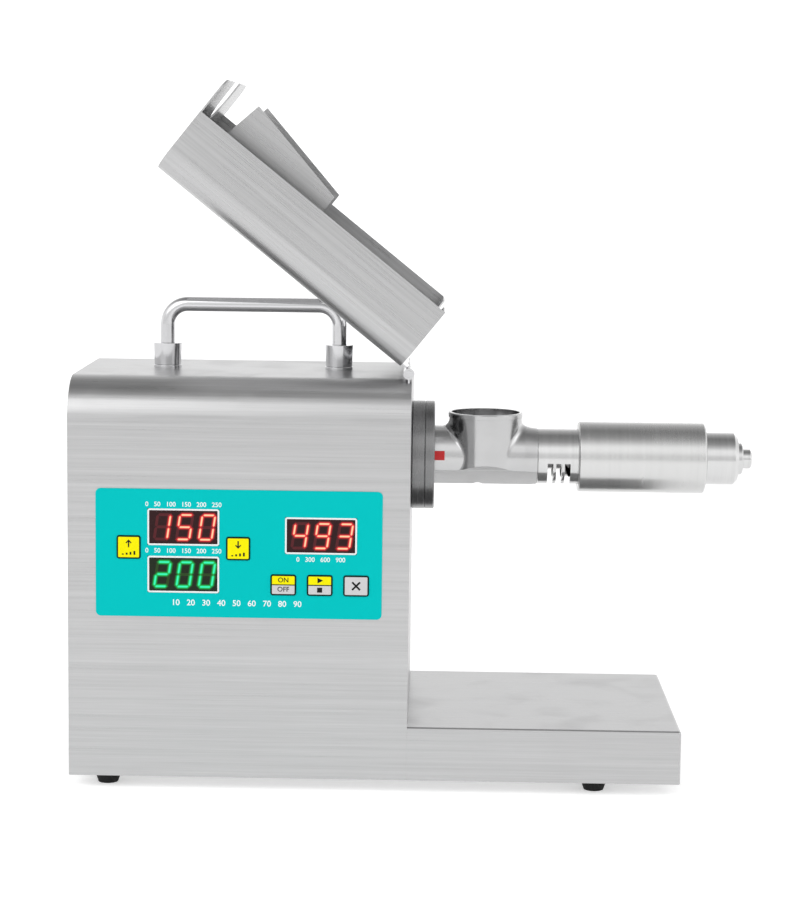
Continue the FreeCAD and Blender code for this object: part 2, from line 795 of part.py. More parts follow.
# ---- Press barrel ----------------------------------------------------------------------------------
def mounting_flange():
    """Turned flange that clamps the barrel to the cabinet, with sunk screw heads."""
    groove_x = flange_groove
    groove = flange_groove_depth
    low = flange_chamfer
    profile = [(0, 0), (0, flange_radius - low), (low, flange_radius),
               (groove_x, flange_radius), (groove_x + groove, flange_radius - groove),
               (groove_x + 2 * groove, flange_radius),
               (flange_thickness - low, flange_radius), (flange_thickness, flange_radius - low),
               (flange_thickness, 0)]
    flange = turned_x(profile)
    cutters = [rod_x(chamber_radius + running_fit, -1, flange_thickness + 1)]
    for y, z in flange_screw_places():
        cutters.append(rod_x(flange_screw_radius + screw_clearance, -1, flange_thickness + 1, y, z))
        cutters.append(rod_x(flange_head_radius + screw_clearance,
                             flange_thickness - flange_head_height, flange_thickness + 1, y, z))
    return flange.cut(cutters)


def flange_screw(y, z):
    """Socket-head screw through the flange and the end plate into the gearbox."""
    head_x = flange_thickness - flange_head_height
    head = rod_x(flange_head_radius, head_x, flange_thickness - flange_head_sunk, y, z)
    shank = rod_x(flange_screw_radius, gearbox_x - gearbox_front + 1, head_x, y, z)
    socket = hexagon_x(flange_socket_flats, flange_thickness - flange_socket_depth, flange_thickness, z)
    socket.translate(V(0, y, 0))
    return fused([head, shank]).cut(socket)


def feed_chamber():
    """Cast chamber: a horizontal tube, the vertical feed throat blended into it, two bevels below."""
    tube = rod_x(chamber_radius, 0, chamber_length)
    boss = rod_z(throat_boss_radius, axis_z - throat_boss_drop, throat_z - throat_rim_height, throat_offset)
    body = tube.fuse(boss)
    joint = [edge for edge in body.Edges if not isinstance(edge.Curve, (Part.Line, Part.Circle))]
    body = body.makeFillet(throat_blend, joint)
    rim = rod_z(throat_rim_radius, throat_z - throat_rim_height, throat_z, throat_offset)
    upper = [edge for edge in rim.Edges if abs(edge.CenterOfMass.z - throat_z) < sliver]
    rim = rim.makeFillet(throat_rim_edge, upper)
    body = fused([body, rim])
    keel_z = axis_z - bevel_keel
    reach = 2 * throat_boss_radius
    rise = reach * math.tan(math.radians(bevel_angle))
    below = [V(-1, 0, keel_z), V(-1, reach, keel_z + rise), V(-1, reach, keel_z - rise),
             V(-1, -reach, keel_z - rise), V(-1, -reach, keel_z + rise)]
    bevels = prism(below, V(chamber_length + 2, 0, 0)).cut(box(-2, flange_thickness,
                                                               -reach, reach, 0, axis_z))
    funnel_z = throat_z - throat_bore_depth
    funnel = Part.makeCone(screw_bore_radius - 1, throat_bore_radius, funnel_z - axis_z,
                           V(throat_offset, 0, axis_z), Z_AXIS)
    throat = rod_z(throat_bore_radius, funnel_z, throat_z + 1, throat_offset)
    bore = rod_x(screw_bore_radius, -1, chamber_length + 1)
    notch_z = keel_z - drain_notch_radius + drain_notch_depth
    notch = rod_y(drain_notch_radius, -chamber_radius, chamber_radius, drain_notch_offset, notch_z)
    taper_x = chamber_length - chamber_taper
    taper = turned_x([(taper_x, chamber_radius), (chamber_length + 1, chamber_radius),
                      (chamber_length + 1, chamber_end_radius), (chamber_length, chamber_end_radius)])
    return body.cut([bevels, funnel, throat, bore, notch, taper])


def index_mark():
    """Small red mark on the chamber beside the flange."""
    outer = chamber_radius + index_mark_thickness
    x0 = flange_thickness
    mark = rod_x(outer, x0, x0 + index_mark_length).cut(rod_x(chamber_radius, x0 - 1, chamber_length))
    low = axis_z - index_mark_drop
    window = box(x0, x0 + index_mark_length, -outer - 1, 0, low, low + index_mark_height)
    return mark.common(window)


def cage_barrel():
    """Steel tube round the screw, with oil slots below, its bore closing to a cone at the outlet."""
    outside = turned_x([(chamber_length, 0), (chamber_length, cage_radius - cage_edge),
                        (chamber_length + cage_edge, cage_radius), (cage_step, cage_radius),
                        (cage_step, cage_thread_radius), (cage_end, cage_thread_radius), (cage_end, 0)])
    bore = turned_x([(chamber_length - 1, 0), (chamber_length - 1, screw_bore_radius),
                     (cage_step, screw_bore_radius), (cage_end + sliver, outlet_cone_radius),
                     (cage_end + sliver, 0)])
    slots = []
    for i in range(oil_slot_count):
        x = oil_slot_first + i * oil_slot_pitch
        slots.append(box(x - oil_slot_width / 2, x + oil_slot_width / 2, -cage_radius - 1, cage_radius + 1,
                         axis_z - cage_radius - 1, axis_z - oil_slot_top))
    return outside.cut([bore] + slots)


def heater_band():
    """Split ring heater round the barrel."""
    inner = cage_radius + running_fit
    x0 = sleeve_start + sheet + heater_clearance
    x1 = sleeve_end - sheet - heater_clearance
    ring = rod_x(inner + heater_thickness, x0, x1).cut(rod_x(inner, x0 - 1, x1 + 1))
    split = box(x0 - 1, x1 + 1, -heater_split / 2, heater_split / 2,
                axis_z - sleeve_radius, axis_z - inner + heater_thickness)
    return ring.cut(split)


def thermocouple():
    """Temperature probe in the heater's split."""
    x0 = (sleeve_start + sleeve_end - thermocouple_length) / 2
    z = axis_z - cage_radius - thermocouple_radius - running_fit
    probe = rod_x(thermocouple_radius, x0, x0 + thermocouple_length, 0, z)
    return probe.makeChamfer(thermocouple_radius / 2, [probe.Edges[0]])


def heater_sleeve():
    """Satin steel cover of the heater, turned in at both ends to meet the barrel."""
    lip = sleeve_lip
    inner = sleeve_radius - sheet
    seat = cage_radius + running_fit
    profile = [(sleeve_start, seat), (sleeve_start, sleeve_radius - lip / 2),
               (sleeve_start + lip / 2, sleeve_radius), (sleeve_end - lip / 2, sleeve_radius),
               (sleeve_end, sleeve_radius - lip / 2), (sleeve_end, seat),
               (sleeve_end - sheet, seat), (sleeve_end - sheet, inner),
               (sleeve_start + sheet, inner), (sleeve_start + sheet, seat)]
    return turned_x(profile)


def tail_nut():
    """Turned nut on the barrel's thread that holds the outlet ring."""
    face_x = nut_end - nut_wall
    profile = [(nut_start, cage_thread_radius + running_fit), (nut_start, nut_radius - nut_edge),
               (nut_start + nut_edge, nut_radius), (nut_end - nut_chamfer, nut_radius),
               (nut_end, nut_radius - nut_chamfer), (nut_end, outlet_ring_radius + running_fit),
               (face_x, outlet_ring_radius + running_fit), (face_x, cage_thread_radius + running_fit)]
    return turned_x(profile)


def outlet_ring():
    """Ring whose bore leaves a thin gap round the screw's tail, where the press cake comes out."""
    x0 = cage_end + running_fit
    face_x = nut_end - nut_wall - running_fit
    seat = cage_thread_radius - face_gap
    edge = outlet_ring_edge
    profile = [(x0, outlet_cone_radius), (x0, seat), (face_x, seat),
               (face_x, outlet_ring_radius), (outlet_ring_end - edge, outlet_ring_radius),
               (outlet_ring_end, outlet_ring_radius - edge), (outlet_ring_end, outlet_bore_radius),
               (face_x, outlet_bore_radius)]
    return turned_x(profile)


def press_screw():
    """Screw with a core that thickens towards the outlet, a helical flight and a hexagonal drive end."""
    journal_end = screw_flight_start - 4
    start = screw_shoulder
    core = turned_x([(start, 0), (start, screw_journal_radius - 1), (start + 1, screw_journal_radius),
                     (journal_end, screw_journal_radius), (journal_end + 2, screw_core_start),
                     (screw_flight_end, screw_core_end), (cage_step, screw_cone_radius),
                     (cage_end, tail_radius + running_fit), (cage_end + 1, tail_radius),
                     (tail_end - tail_chamfer, tail_radius), (tail_end, tail_radius - tail_chamfer),
                     (tail_end, 0)])
    hexagon = hexagon_x(hex_flats - 2 * hex_fit, -hex_length, start, axis_z)
    length = screw_flight_end - screw_flight_start
    helix = Part.makeHelix(screw_pitch, length, screw_core_start)
    inner = screw_core_start - flight_sink
    outline = [V(inner, 0, -flight_root / 2), V(screw_radius, 0, -flight_tip / 2),
               V(screw_radius, 0, flight_tip / 2), V(inner, 0, flight_root / 2)]
    section = Part.makePolygon(outline + [outline[0]])
    flight = Part.Wire(helix).makePipeShell([section], True, True)
    flight.rotate(V(0, 0, 0), Y_AXIS, 90)
    flight.translate(V(screw_flight_start, 0, axis_z))
    return fused([core, flight, hexagon])


# ---- Gearbox ---------------------------------------------------------------------------------------
def gearbox_outline(x0, x1, radius):
    """Upright stadium round all three gear axes."""
    low_z = axis_z - gearbox_low_centre
    middle = box(x0, x1, -radius, radius, low_z, axis_z)
    return fused([rod_x(radius, x0, x1), rod_x(radius, x0, x1, 0, low_z), middle])


def cover_screw_places():
    """Y and Z of the gearbox cover's screws, in the wall of the housing."""
    reach = gearbox_radius - cover_screw_inset
    low_z = axis_z - gearbox_low_centre
    slant = reach * math.sqrt(0.5)
    return [(-slant, axis_z + slant), (slant, axis_z + slant), (-slant, low_z - slant),
            (slant, low_z - slant), (-reach, (axis_z + low_z) / 2), (reach, (axis_z + low_z) / 2)]


def gearbox_housing():
    """Cast housing bolted behind the end plate, open towards the motor."""
    outside = gearbox_outline(cover_x, gearbox_x, gearbox_radius)
    inside = gearbox_outline(cover_x - 1, gearbox_x - gearbox_front, gearbox_radius - gearbox_wall)
    bosses = []
    for y, z in cover_screw_places():
        boss = rod_x(cover_boss_radius, cover_x, cover_x + cover_boss_length, y, z)
        bosses.append(boss.common(outside))
    body = fused([outside.cut(inside)] + bosses)
    cutters = [rod_x(output_bearing_radius + running_fit, gearbox_x - gearbox_front - 1, gearbox_x + 1),
               rod_x(idler_bearing_radius + running_fit,
                     gearbox_x - gearbox_front - 1, gearbox_x - 1, 0, idler_z)]
    for y, z in flange_screw_places():
        cutters.append(rod_x(flange_screw_radius + running_fit, gearbox_x - gearbox_front, 0, y, z))
    for y, z in cover_screw_places():
        cutters.append(rod_x(cover_screw_radius + running_fit, cover_x - 1,
                             cover_x + cover_screw_depth + 1, y, z))
    return body.cut(cutters)


def motor_screw_places():
    """Y and Z of the screws that hold the motor to the gearbox cover."""
    reach = motor_screw_circle * math.sqrt(0.5)
    return [(y * reach, motor_z + z * reach) for y in (-1, 1) for z in (-1, 1)]


def gearbox_cover():
    """Plate that closes the gearbox and carries the motor."""
    plate = gearbox_outline(motor_x, cover_x, gearbox_radius)
    cutters = [rod_x(output_shaft_radius + running_fit, motor_x + 2, cover_x + 1),
               rod_x(idler_shaft_radius + running_fit, motor_x + 2, cover_x + 1, 0, idler_z),
               rod_x(motor_shaft_radius + 1, motor_x - 1, cover_x + 1, 0, motor_z)]
    for y, z in cover_screw_places():
        cutters.append(rod_x(cover_screw_radius + screw_clearance, motor_x - 1, cover_x + 1, y, z))
        cutters.append(rod_x(2 * cover_screw_radius + screw_clearance, motor_x - 1,
                             motor_x + cover_head_height, y, z))
    for y, z in motor_screw_places():
        cutters.append(rod_x(cover_screw_radius + screw_clearance, motor_x - 1, cover_x + 1, y, z))
    return plate.cut(cutters)


def cover_screw(y, z):
    """Screw through the cover into the housing, its head sunk flush."""
    seat_x = motor_x + cover_head_height
    head = rod_x(2 * cover_screw_radius, motor_x + face_gap, seat_x, y, z)
    shank = rod_x(cover_screw_radius, seat_x, cover_x + cover_screw_depth, y, z)
    return fused([head, shank])


def gear(module, teeth, x0, x1, z, bore, turn):
    """Spur gear with involute flanks; turn is the angle from +Z to the middle of one tooth."""
    pitch_radius = module * teeth / 2
    base_radius = pitch_radius * math.cos(math.radians(pressure_angle))
    root_radius = pitch_radius - gear_dedendum * module
    tip_radius = pitch_radius + gear_addendum * module

    def involute(radius):
        angle = math.acos(min(1.0, base_radius / radius))
        return math.tan(angle) - angle

    def half_angle(radius):
        at_pitch = math.pi / (2 * teeth) - gear_backlash / (4 * pitch_radius)
        return at_pitch + involute(pitch_radius) - involute(radius)

    low_radius = max(root_radius, base_radius)
    flank = [(root_radius, half_angle(low_radius)), (low_radius + sliver, half_angle(low_radius + sliver)),
             (pitch_radius, half_angle(pitch_radius)), (tip_radius, half_angle(tip_radius))]
    points = []
    for i in range(teeth):
        middle = turn + 2 * math.pi * i / teeth
        for radius, half in flank:
            points.append((radius, middle - half))
        for radius, half in reversed(flank):
            points.append((radius, middle + half))
    outline = [V(x0, radius * math.sin(angle), z + radius * math.cos(angle)) for radius, angle in points]
    return prism(outline, V(x1 - x0, 0, 0)).cut(rod_x(bore, x0 - 1, x1 + 1, 0, z))


def output_gear():
    """Large gear on the output shaft, lightened by four holes."""
    body = gear(output_module, output_teeth, output_gear_x - output_face, output_gear_x, axis_z,
                output_shaft_radius + press_gap, math.pi)
    reach = gear_hole_circle
    holes = [rod_x(gear_hole_radius, output_gear_x - output_face - 1, output_gear_x + 1,
                   reach * math.sin(math.pi / 4 + i * math.pi / 2),
                   axis_z + reach * math.cos(math.pi / 4 + i * math.pi / 2)) for i in range(4)]
    return body.cut(holes)


def output_shaft():
    """Hollow output shaft whose hexagonal socket drives the press screw."""
    shaft = rod_x(output_shaft_radius, motor_x + shaft_end_gap, -seam)
    socket = hexagon_x(hex_flats, -hex_length - 1, 0, axis_z)
    return shaft.cut(socket)


def idler_gear():
    """Gear on the idler shaft that the motor pinion drives."""
    return gear(motor_module, motor_gear_teeth, motor_gear_x - motor_face, motor_gear_x, idler_z,
                idler_shaft_radius + press_gap, math.pi)


def idler_shaft():
    """Idler shaft cut in one with the pinion that drives the output gear."""
    pinion = gear(output_module, output_pinion_teeth, output_gear_x - output_face, output_gear_x, idler_z,
                  idler_shaft_radius - 1, math.pi / output_pinion_teeth)
    shaft = rod_x(idler_shaft_radius, motor_x + shaft_end_gap, gearbox_x - end_plate, 0, idler_z)
    return fused([shaft, pinion])


def motor_pinion():
    """Pinion on the motor shaft."""
    return gear(motor_module, motor_pinion_teeth, motor_gear_x - motor_face, motor_gear_x, motor_z,
                motor_shaft_radius + press_gap, math.pi / motor_pinion_teeth)


def bearing(radius, bore, x0, z):
    """Ball bearing drawn as its two rings with their shield."""
    ring = rod_x(radius, x0, x0 + bearing_width, 0, z)
    return ring.cut(rod_x(bore + running_fit, x0 - 1, x0 + bearing_width + 1, 0, z))


def motor_bearing_places():
    """Lower X of the two rotor bearings, each seated in an end wall of the casing."""
    return (motor_end_x + motor_end_wall - 2, motor_x - motor_end_wall - 6)


def bearings():
    """Ball bearings: one of the output shaft, one of the idler shaft and two of the rotor."""
    front_x = gearbox_x - gearbox_front
    rings = [bearing(output_bearing_radius, output_shaft_radius, front_x, axis_z),
             bearing(idler_bearing_radius, idler_shaft_radius, front_x - 1, idler_z)]
    rings += [bearing(motor_bearing_radius, motor_shaft_radius, x0, motor_z)
              for x0 in motor_bearing_places()]
    return Part.makeCompound(rings)


# ---- Motor -----------------------------------------------------------------------------------------
def motor_casing():
    """Round motor casing with end walls, fixed to the gearbox cover."""
    shell = rod_x(motor_radius, motor_end_x, motor_x, 0, motor_z)
    inner = rod_x(motor_radius - motor_wall, motor_end_x + motor_end_wall, motor_x - motor_end_wall,
                  0, motor_z)
    cutters = [inner, rod_x(motor_shaft_radius + 1, motor_end_x - 1, motor_x + 1, 0, motor_z)]
    for x0 in motor_bearing_places():
        cutters.append(rod_x(motor_bearing_radius + running_fit, x0, x0 + bearing_width, 0, motor_z))
    for y, z in motor_screw_places():
        cutters.append(rod_x(cover_screw_radius + running_fit, motor_x - motor_end_wall - 1,
                             motor_x + 1, y, z))
    return shell.cut(cutters)


def motor_screw(y, z):
    """Screw from inside the gearbox through its cover into the motor."""
    head = rod_x(2 * cover_screw_radius, cover_x, cover_x + cover_head_height, y, z)
    shank = rod_x(cover_screw_radius, motor_x - motor_end_wall, cover_x, y, z)
    return fused([head, shank])


def gearbox_screws():
    """Screws of the gearbox cover, and those that hold the motor to it."""
    screws = [cover_screw(*place) for place in cover_screw_places()]
    screws += [motor_screw(*place) for place in motor_screw_places()]
    return Part.makeCompound(screws)


def motor_stator():
    """Wound stator pressed into the casing."""
    outer = motor_radius - motor_wall - running_fit
    inner = rotor_radius + air_gap
    x0 = rotor_x - rotor_length
    ring = rod_x(outer, x0, rotor_x, 0, motor_z)
    return ring.cut(rod_x(inner, x0 - 1, rotor_x + 1, 0, motor_z))


def motor_rotor():
    """Rotor core on the motor shaft."""
    shaft = rod_x(motor_shaft_radius, fan_x - fan_width - 2, motor_gear_x + 1, 0, motor_z)
    core = rod_x(rotor_radius, rotor_x - rotor_length, rotor_x, 0, motor_z)
    return fused([core, shaft])


def motor_fan():
    """Axial fan on the free end of the motor shaft."""
    hub = rod_x(fan_hub_radius, fan_x - fan_width, fan_x, 0, motor_z)
    middle = fan_x - fan_width / 2
    blades = []
    for i in range(fan_blades):
        half = fan_blade_thickness / 2
        blade = box(middle - fan_width, middle + fan_width, -half, half,
                    motor_z + fan_hub_radius - 1, motor_z + fan_radius)
        blade.rotate(V(middle, 0, motor_z), Z_AXIS, 90 - fan_blade_angle)
        blade.rotate(V(middle, 0, motor_z), X_AXIS, 360 * i / fan_blades)
        blades.append(blade)
    swept = rod_x(fan_radius, fan_x - fan_width, fan_x, 0, motor_z)
    body = fused([hub] + blades).common(swept)
    return body.cut(rod_x(motor_shaft_radius + press_gap, fan_x - fan_width - 1, fan_x + 1, 0, motor_z))


# ---- Control panel ---------------------------------------------------------------------------------
def panel_overlay():
    """Coloured control overlay on the cabinet's front."""
    plate = rounded_block(panel_left_x, panel_left_x + panel_width, front_y - panel_thickness, front_y,
                          panel_bottom_z, panel_top_z, panel_corner, Y_AXIS)
    return plate.cut(panel_openings(front_y - panel_thickness - 1, front_y + 1,
                                    display_fit, key_fit))


def display_frame_at(x, z):
    """White frame round one display."""
    width = display_width / 2 + display_frame
    height = display_height / 2 + display_frame
    inner_width = display_width / 2 + display_fit
    inner_height = display_height / 2 + display_fit
    y0 = front_y - panel_thickness
    frame = box(x - width, x + width, y0 - frame_proud, y0, z - height, z + height)
    return frame.cut(box(x - inner_width, x + inner_width, y0 - 2, y0 + 1,
                         z - inner_height, z + inner_height))


def display_module(x, z):
    """Three-digit display module, from the board to the overlay's face."""
    return box(x - display_width / 2, x + display_width / 2, front_y - panel_thickness, board_y,
               z - display_height / 2, z + display_height / 2)


def panel_key(x, z, width, height):
    """Key cap with a flange behind the wall and a stem towards its switch."""
    front = front_y - panel_thickness - key_proud
    inner = front_y + sheet + key_flange_gap
    cap = rounded_block(x - width / 2, x + width / 2, front, inner,
                        z - height / 2, z + height / 2, key_corner, Y_AXIS)
    rim = [edge for edge in cap.Edges if abs(edge.CenterOfMass.y - front) < sliver]
    cap = cap.makeChamfer(key_edge, rim)
    flange = box(x - width / 2 - key_flange, x + width / 2 + key_flange,
                 inner, inner + key_flange_thickness,
                 z - height / 2 - key_flange, z + height / 2 + key_flange)
    stem_end = board_y - switch_height - switch_button_height - key_travel - face_gap
    stem = rod_y(key_stem_radius, inner, stem_end, x, z)
    return fused([cap, flange, stem])


def key_switch(x, z):
    """Push switch on the board behind one key."""
    half = switch_size / 2
    body = box(x - half, x + half, board_y - switch_height, board_y, z - half, z + half)
    button = rod_y(switch_button_radius, board_y - switch_height - switch_button_height,
                   board_y - switch_height, x, z)
    return fused([body, button])


def standoff_places():
    """X and Z of the four board standoffs."""
    inset = board_margin + standoff_inset
    return [(x, z) for x in (panel_left_x + inset, panel_left_x + panel_width - inset)
            for z in (panel_bottom_z + inset, panel_top_z - inset)]


def control_board():
    """Circuit board behind the panel."""
    board = box(panel_left_x + board_margin, panel_left_x + panel_width - board_margin,
                board_y, board_y + board_thickness,
                panel_bottom_z + board_margin, panel_top_z - board_margin)
    back = board_y + board_thickness
    return board.cut([rod_y(board_screw_radius + screw_clearance, board_y - 1, back + 1, x, z)
                      for x, z in standoff_places()])


def board_standoff(x, z):
    """Stud welded behind the cabinet's front, tapped for the board's screw."""
    stud = rod_y(standoff_radius, front_y + sheet, board_y, x, z)
    depth = board_screw_depth + 1
    return stud.cut(rod_y(board_screw_radius + running_fit, board_y - depth, board_y + 1, x, z))


def board_screw(x, z):
    """Screw that holds the board on a standoff."""
    back = board_y + board_thickness
    head = rod_y(2 * board_screw_radius, back, back + board_screw_head, x, z)
    shank = rod_y(board_screw_radius, board_y - board_screw_depth, back, x, z)
    return fused([head, shank])


# ---- Mains inlet and switch ------------------------------------------------------------------------
def power_inlet():
    """Three-pole appliance inlet with its socket facing back."""
    x = inlet_centre_x
    flange_y = back_y + inlet_flange_thickness
    flange = rounded_block(x - inlet_flange_width / 2, x + inlet_flange_width / 2, back_y, flange_y,
                           inlet_z - inlet_flange_height / 2, inlet_z + inlet_flange_height / 2,
                           inlet_corner, Y_AXIS)
    body = box(x - inlet_body_width / 2, x + inlet_body_width / 2, back_y - inlet_body_depth, flange_y,
               inlet_z - inlet_body_height / 2, inlet_z + inlet_body_height / 2)
    cavity = box(x - inlet_cavity_width / 2, x + inlet_cavity_width / 2,
                 flange_y - inlet_cavity_depth, flange_y + 1,
                 inlet_z - inlet_cavity_height / 2, inlet_z + inlet_cavity_height / 2)
    upper = [edge for edge in edges_along(cavity, Y_AXIS) if edge.CenterOfMass.z > inlet_z]
    cavity = cavity.makeChamfer(inlet_corner, upper)
    cutters = [cavity]
    for screw_x, z in inlet_screw_places():
        cutters.append(rod_y(inlet_screw_radius + screw_clearance, back_y - 1, flange_y + 1, screw_x, z))
    for pin_place in inlet_pin_places():
        cutters.append(inlet_pin_block(*pin_place))
    return fused([flange, body]).cut(cutters)


def inlet_pin_places():
    """X and Z of the three contact pins."""
    return [(inlet_centre_x, inlet_z + earth_pin_rise),
            (inlet_centre_x - pin_spacing, inlet_z + line_pin_rise),
            (inlet_centre_x + pin_spacing, inlet_z + line_pin_rise)]


def inlet_pin_block(x, z):
    """Flat contact pin, from its solder tag inside to its tip in the socket."""
    tip_y = back_y + inlet_flange_thickness - pin_sunk
    return box(x - pin_width / 2, x + pin_width / 2, back_y - inlet_body_depth - pin_tag, tip_y,
               z - pin_height / 2, z + pin_height / 2)


def inlet_screw(x, z):
    """Screw of the inlet's flange, with its nut inside."""
    flange_y = back_y + inlet_flange_thickness
    head = rod_y(2 * inlet_screw_radius, flange_y, flange_y + inlet_screw_head, x, z)
    shank = rod_y(inlet_screw_radius, back_y - sheet - 4, flange_y, x, z)
    nut = rod_y(2 * inlet_screw_radius, back_y - sheet - inlet_nut_height, back_y - sheet, x, z)
    return fused([head, shank, nut])


def rocker_housing():
    """Housing of the mains switch, open at the back for its rocker."""
    width = rocker_frame_width / 2
    height = rocker_frame_height / 2
    face_y = back_y + rocker_frame_thickness
    frame = rounded_block(rocker_x - width, rocker_x + width, back_y, face_y,
                          inlet_z - height, inlet_z + height, rocker_corner, Y_AXIS)
    body = box(rocker_x - width + rocker_wall, rocker_x + width - rocker_wall,
               back_y - rocker_body_depth, face_y,
               inlet_z - height + rocker_wall, inlet_z + height - rocker_wall)
    mouth_rise = rocker_radius + rocker_gap
    mouth = box(rocker_x - width + 2 * rocker_wall, rocker_x + width - 2 * rocker_wall,
                face_y - rocker_mouth_depth, face_y + 1, inlet_z - mouth_rise, inlet_z + mouth_rise)
    pivot_y = face_y - rocker_pivot_depth
    sockets = rod_x(rocker_pin_radius + running_fit, rocker_x - width + rocker_wall + rocker_gap,
                    rocker_x + width - rocker_wall - rocker_gap, pivot_y, inlet_z)
    return fused([frame, body]).cut([mouth, sockets])


def rocker_switch():
    """Rocker that tips between off and on; at rest its upper half stands out."""
    half = rocker_frame_width / 2 - 2 * rocker_wall - rocker_side_gap
    pivot_y = back_y + rocker_frame_thickness - rocker_pivot_depth
    barrel = rod_x(rocker_radius, rocker_x - half, rocker_x + half, pivot_y, inlet_z)
    face_y = pivot_y + rocker_pivot_depth + rocker_face_height
    keep = box(rocker_x - half, rocker_x + half, pivot_y - rocker_depth, face_y,
               inlet_z - rocker_radius, inlet_z + rocker_radius)
    dish_y = face_y + rocker_dish_radius - rocker_dish_depth
    dish = rod_x(rocker_dish_radius, rocker_x - half - 1, rocker_x + half + 1, dish_y, inlet_z)
    body = barrel.common(keep).cut(dish)
    pin_reach = rocker_frame_width / 2 - rocker_wall - 0.5
    pins = rod_x(rocker_pin_radius, rocker_x - pin_reach, rocker_x + pin_reach, pivot_y, inlet_z)
    body = fused([body, pins])
    body.rotate(V(rocker_x, pivot_y, inlet_z), X_AXIS, rocker_swing / 2)
    return body


# ---- Every piece and its file ----------------------------------------------------------------------
def all_pieces():
    """Node name and shape of every piece."""
    handle_posts = [(handle_left_x,), (handle_right_x,)]
    displays = display_places()
    pieces = {
        "cabinet_shell": cabinet_shell(),
        "left_end_plate": left_end_plate(),
        "right_end_plate": right_end_plate(),
        "base_plate": base_plate(),
        "tray_platform": tray_platform(),
        "rubber_feet": screws_at(foot_places(), rubber_foot),
        "foot_screws": screws_at(foot_places(), foot_screw),
        "foot_nuts": screws_at(foot_places(), foot_nut),
        "handle_bar": handle_bar(),
        "handle_collars": screws_at(handle_posts, handle_collar),
        "handle_rings": screws_at(handle_posts, handle_ring),
        "handle_screws": screws_at(handle_posts, handle_screw),
        "hinge_fixed_leaf": hinge_fixed_leaf(),
        "hinge_moving_leaf": hinge_moving_leaf(),
        "hinge_pin": hinge_pin(),
        "hood_shell": hood_shell(),
        "hood_hinge_end": hood_hinge_end(),
        "hood_slotted_end": hood_slotted_end(),
        "heat_shield": heat_shield(),
        "mounting_flange": mounting_flange(),
        "flange_screws": screws_at(flange_screw_places(), flange_screw),
        "feed_chamber": feed_chamber(),
        "index_mark": index_mark(),
        "cage_barrel": cage_barrel(),
        "heater_band": heater_band(),
        "thermocouple": thermocouple(),
        "heater_sleeve": heater_sleeve(),
        "tail_nut": tail_nut(),
        "outlet_ring": outlet_ring(),
        "press_screw": press_screw(),
        "gearbox_housing": gearbox_housing(),
        "gearbox_cover": gearbox_cover(),
        "gearbox_screws": gearbox_screws(),
        "output_gear": output_gear(),
        "output_shaft": output_shaft(),
        "idler_gear": idler_gear(),
        "idler_shaft": idler_shaft(),
        "bearings": bearings(),
        "motor_casing": motor_casing(),
        "motor_stator": motor_stator(),
        "motor_rotor": motor_rotor(),
        "motor_pinion": motor_pinion(),
        "motor_fan": motor_fan(),
        "panel_overlay": panel_overlay(),
        "display_frames": screws_at(displays, display_frame_at),
        "display_modules": screws_at(displays, display_module),
        "control_board": control_board(),
        "key_switches": screws_at([place[:2] for place in key_places().values()], key_switch),
        "board_standoffs": screws_at(standoff_places(), board_standoff),
        "board_screws": screws_at(standoff_places(), board_screw),
        "power_inlet": power_inlet(),
        "inlet_pins": screws_at(inlet_pin_places(), inlet_pin_block),
        "inlet_screws": screws_at(inlet_screw_places(), inlet_screw),
        "rocker_housing": rocker_housing(),
        "rocker_switch": rocker_switch(),
    }
    for name, place in key_places().items():
        pieces[name] = panel_key(*place)
    return pieces


def main():
    """Write one STEP file per piece, moved so that the origin is the centre of the throat's rim."""
    os.makedirs("parts", exist_ok=True)
    to_throat = V(-throat_offset, 0, -throat_z)
    for name, shape in all_pieces().items():
        shape.translate(to_throat)
        shape.exportStep("parts/" + name + ".step")


main()
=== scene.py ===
# %% [markdown]
# # A tabletop screw oil press
#
# A stainless cabinet with a geared motor turns a screw in the barrel on its right side. Seed falls through
# the round throat, oil drips from slots under the barrel, and the hood over it all is swung open here.
# The engineering model already holds every piece at its real size, so this lesson is about looks: what
# each metal, film and plastic does to light, and the printed marks that the solids don't carry.

# %% Load the engineering model
import json
import math

import bmesh
import bpy
import numpy as np
from mathutils import Matrix, Vector
from mathutils.geometry import tessellate_polygon


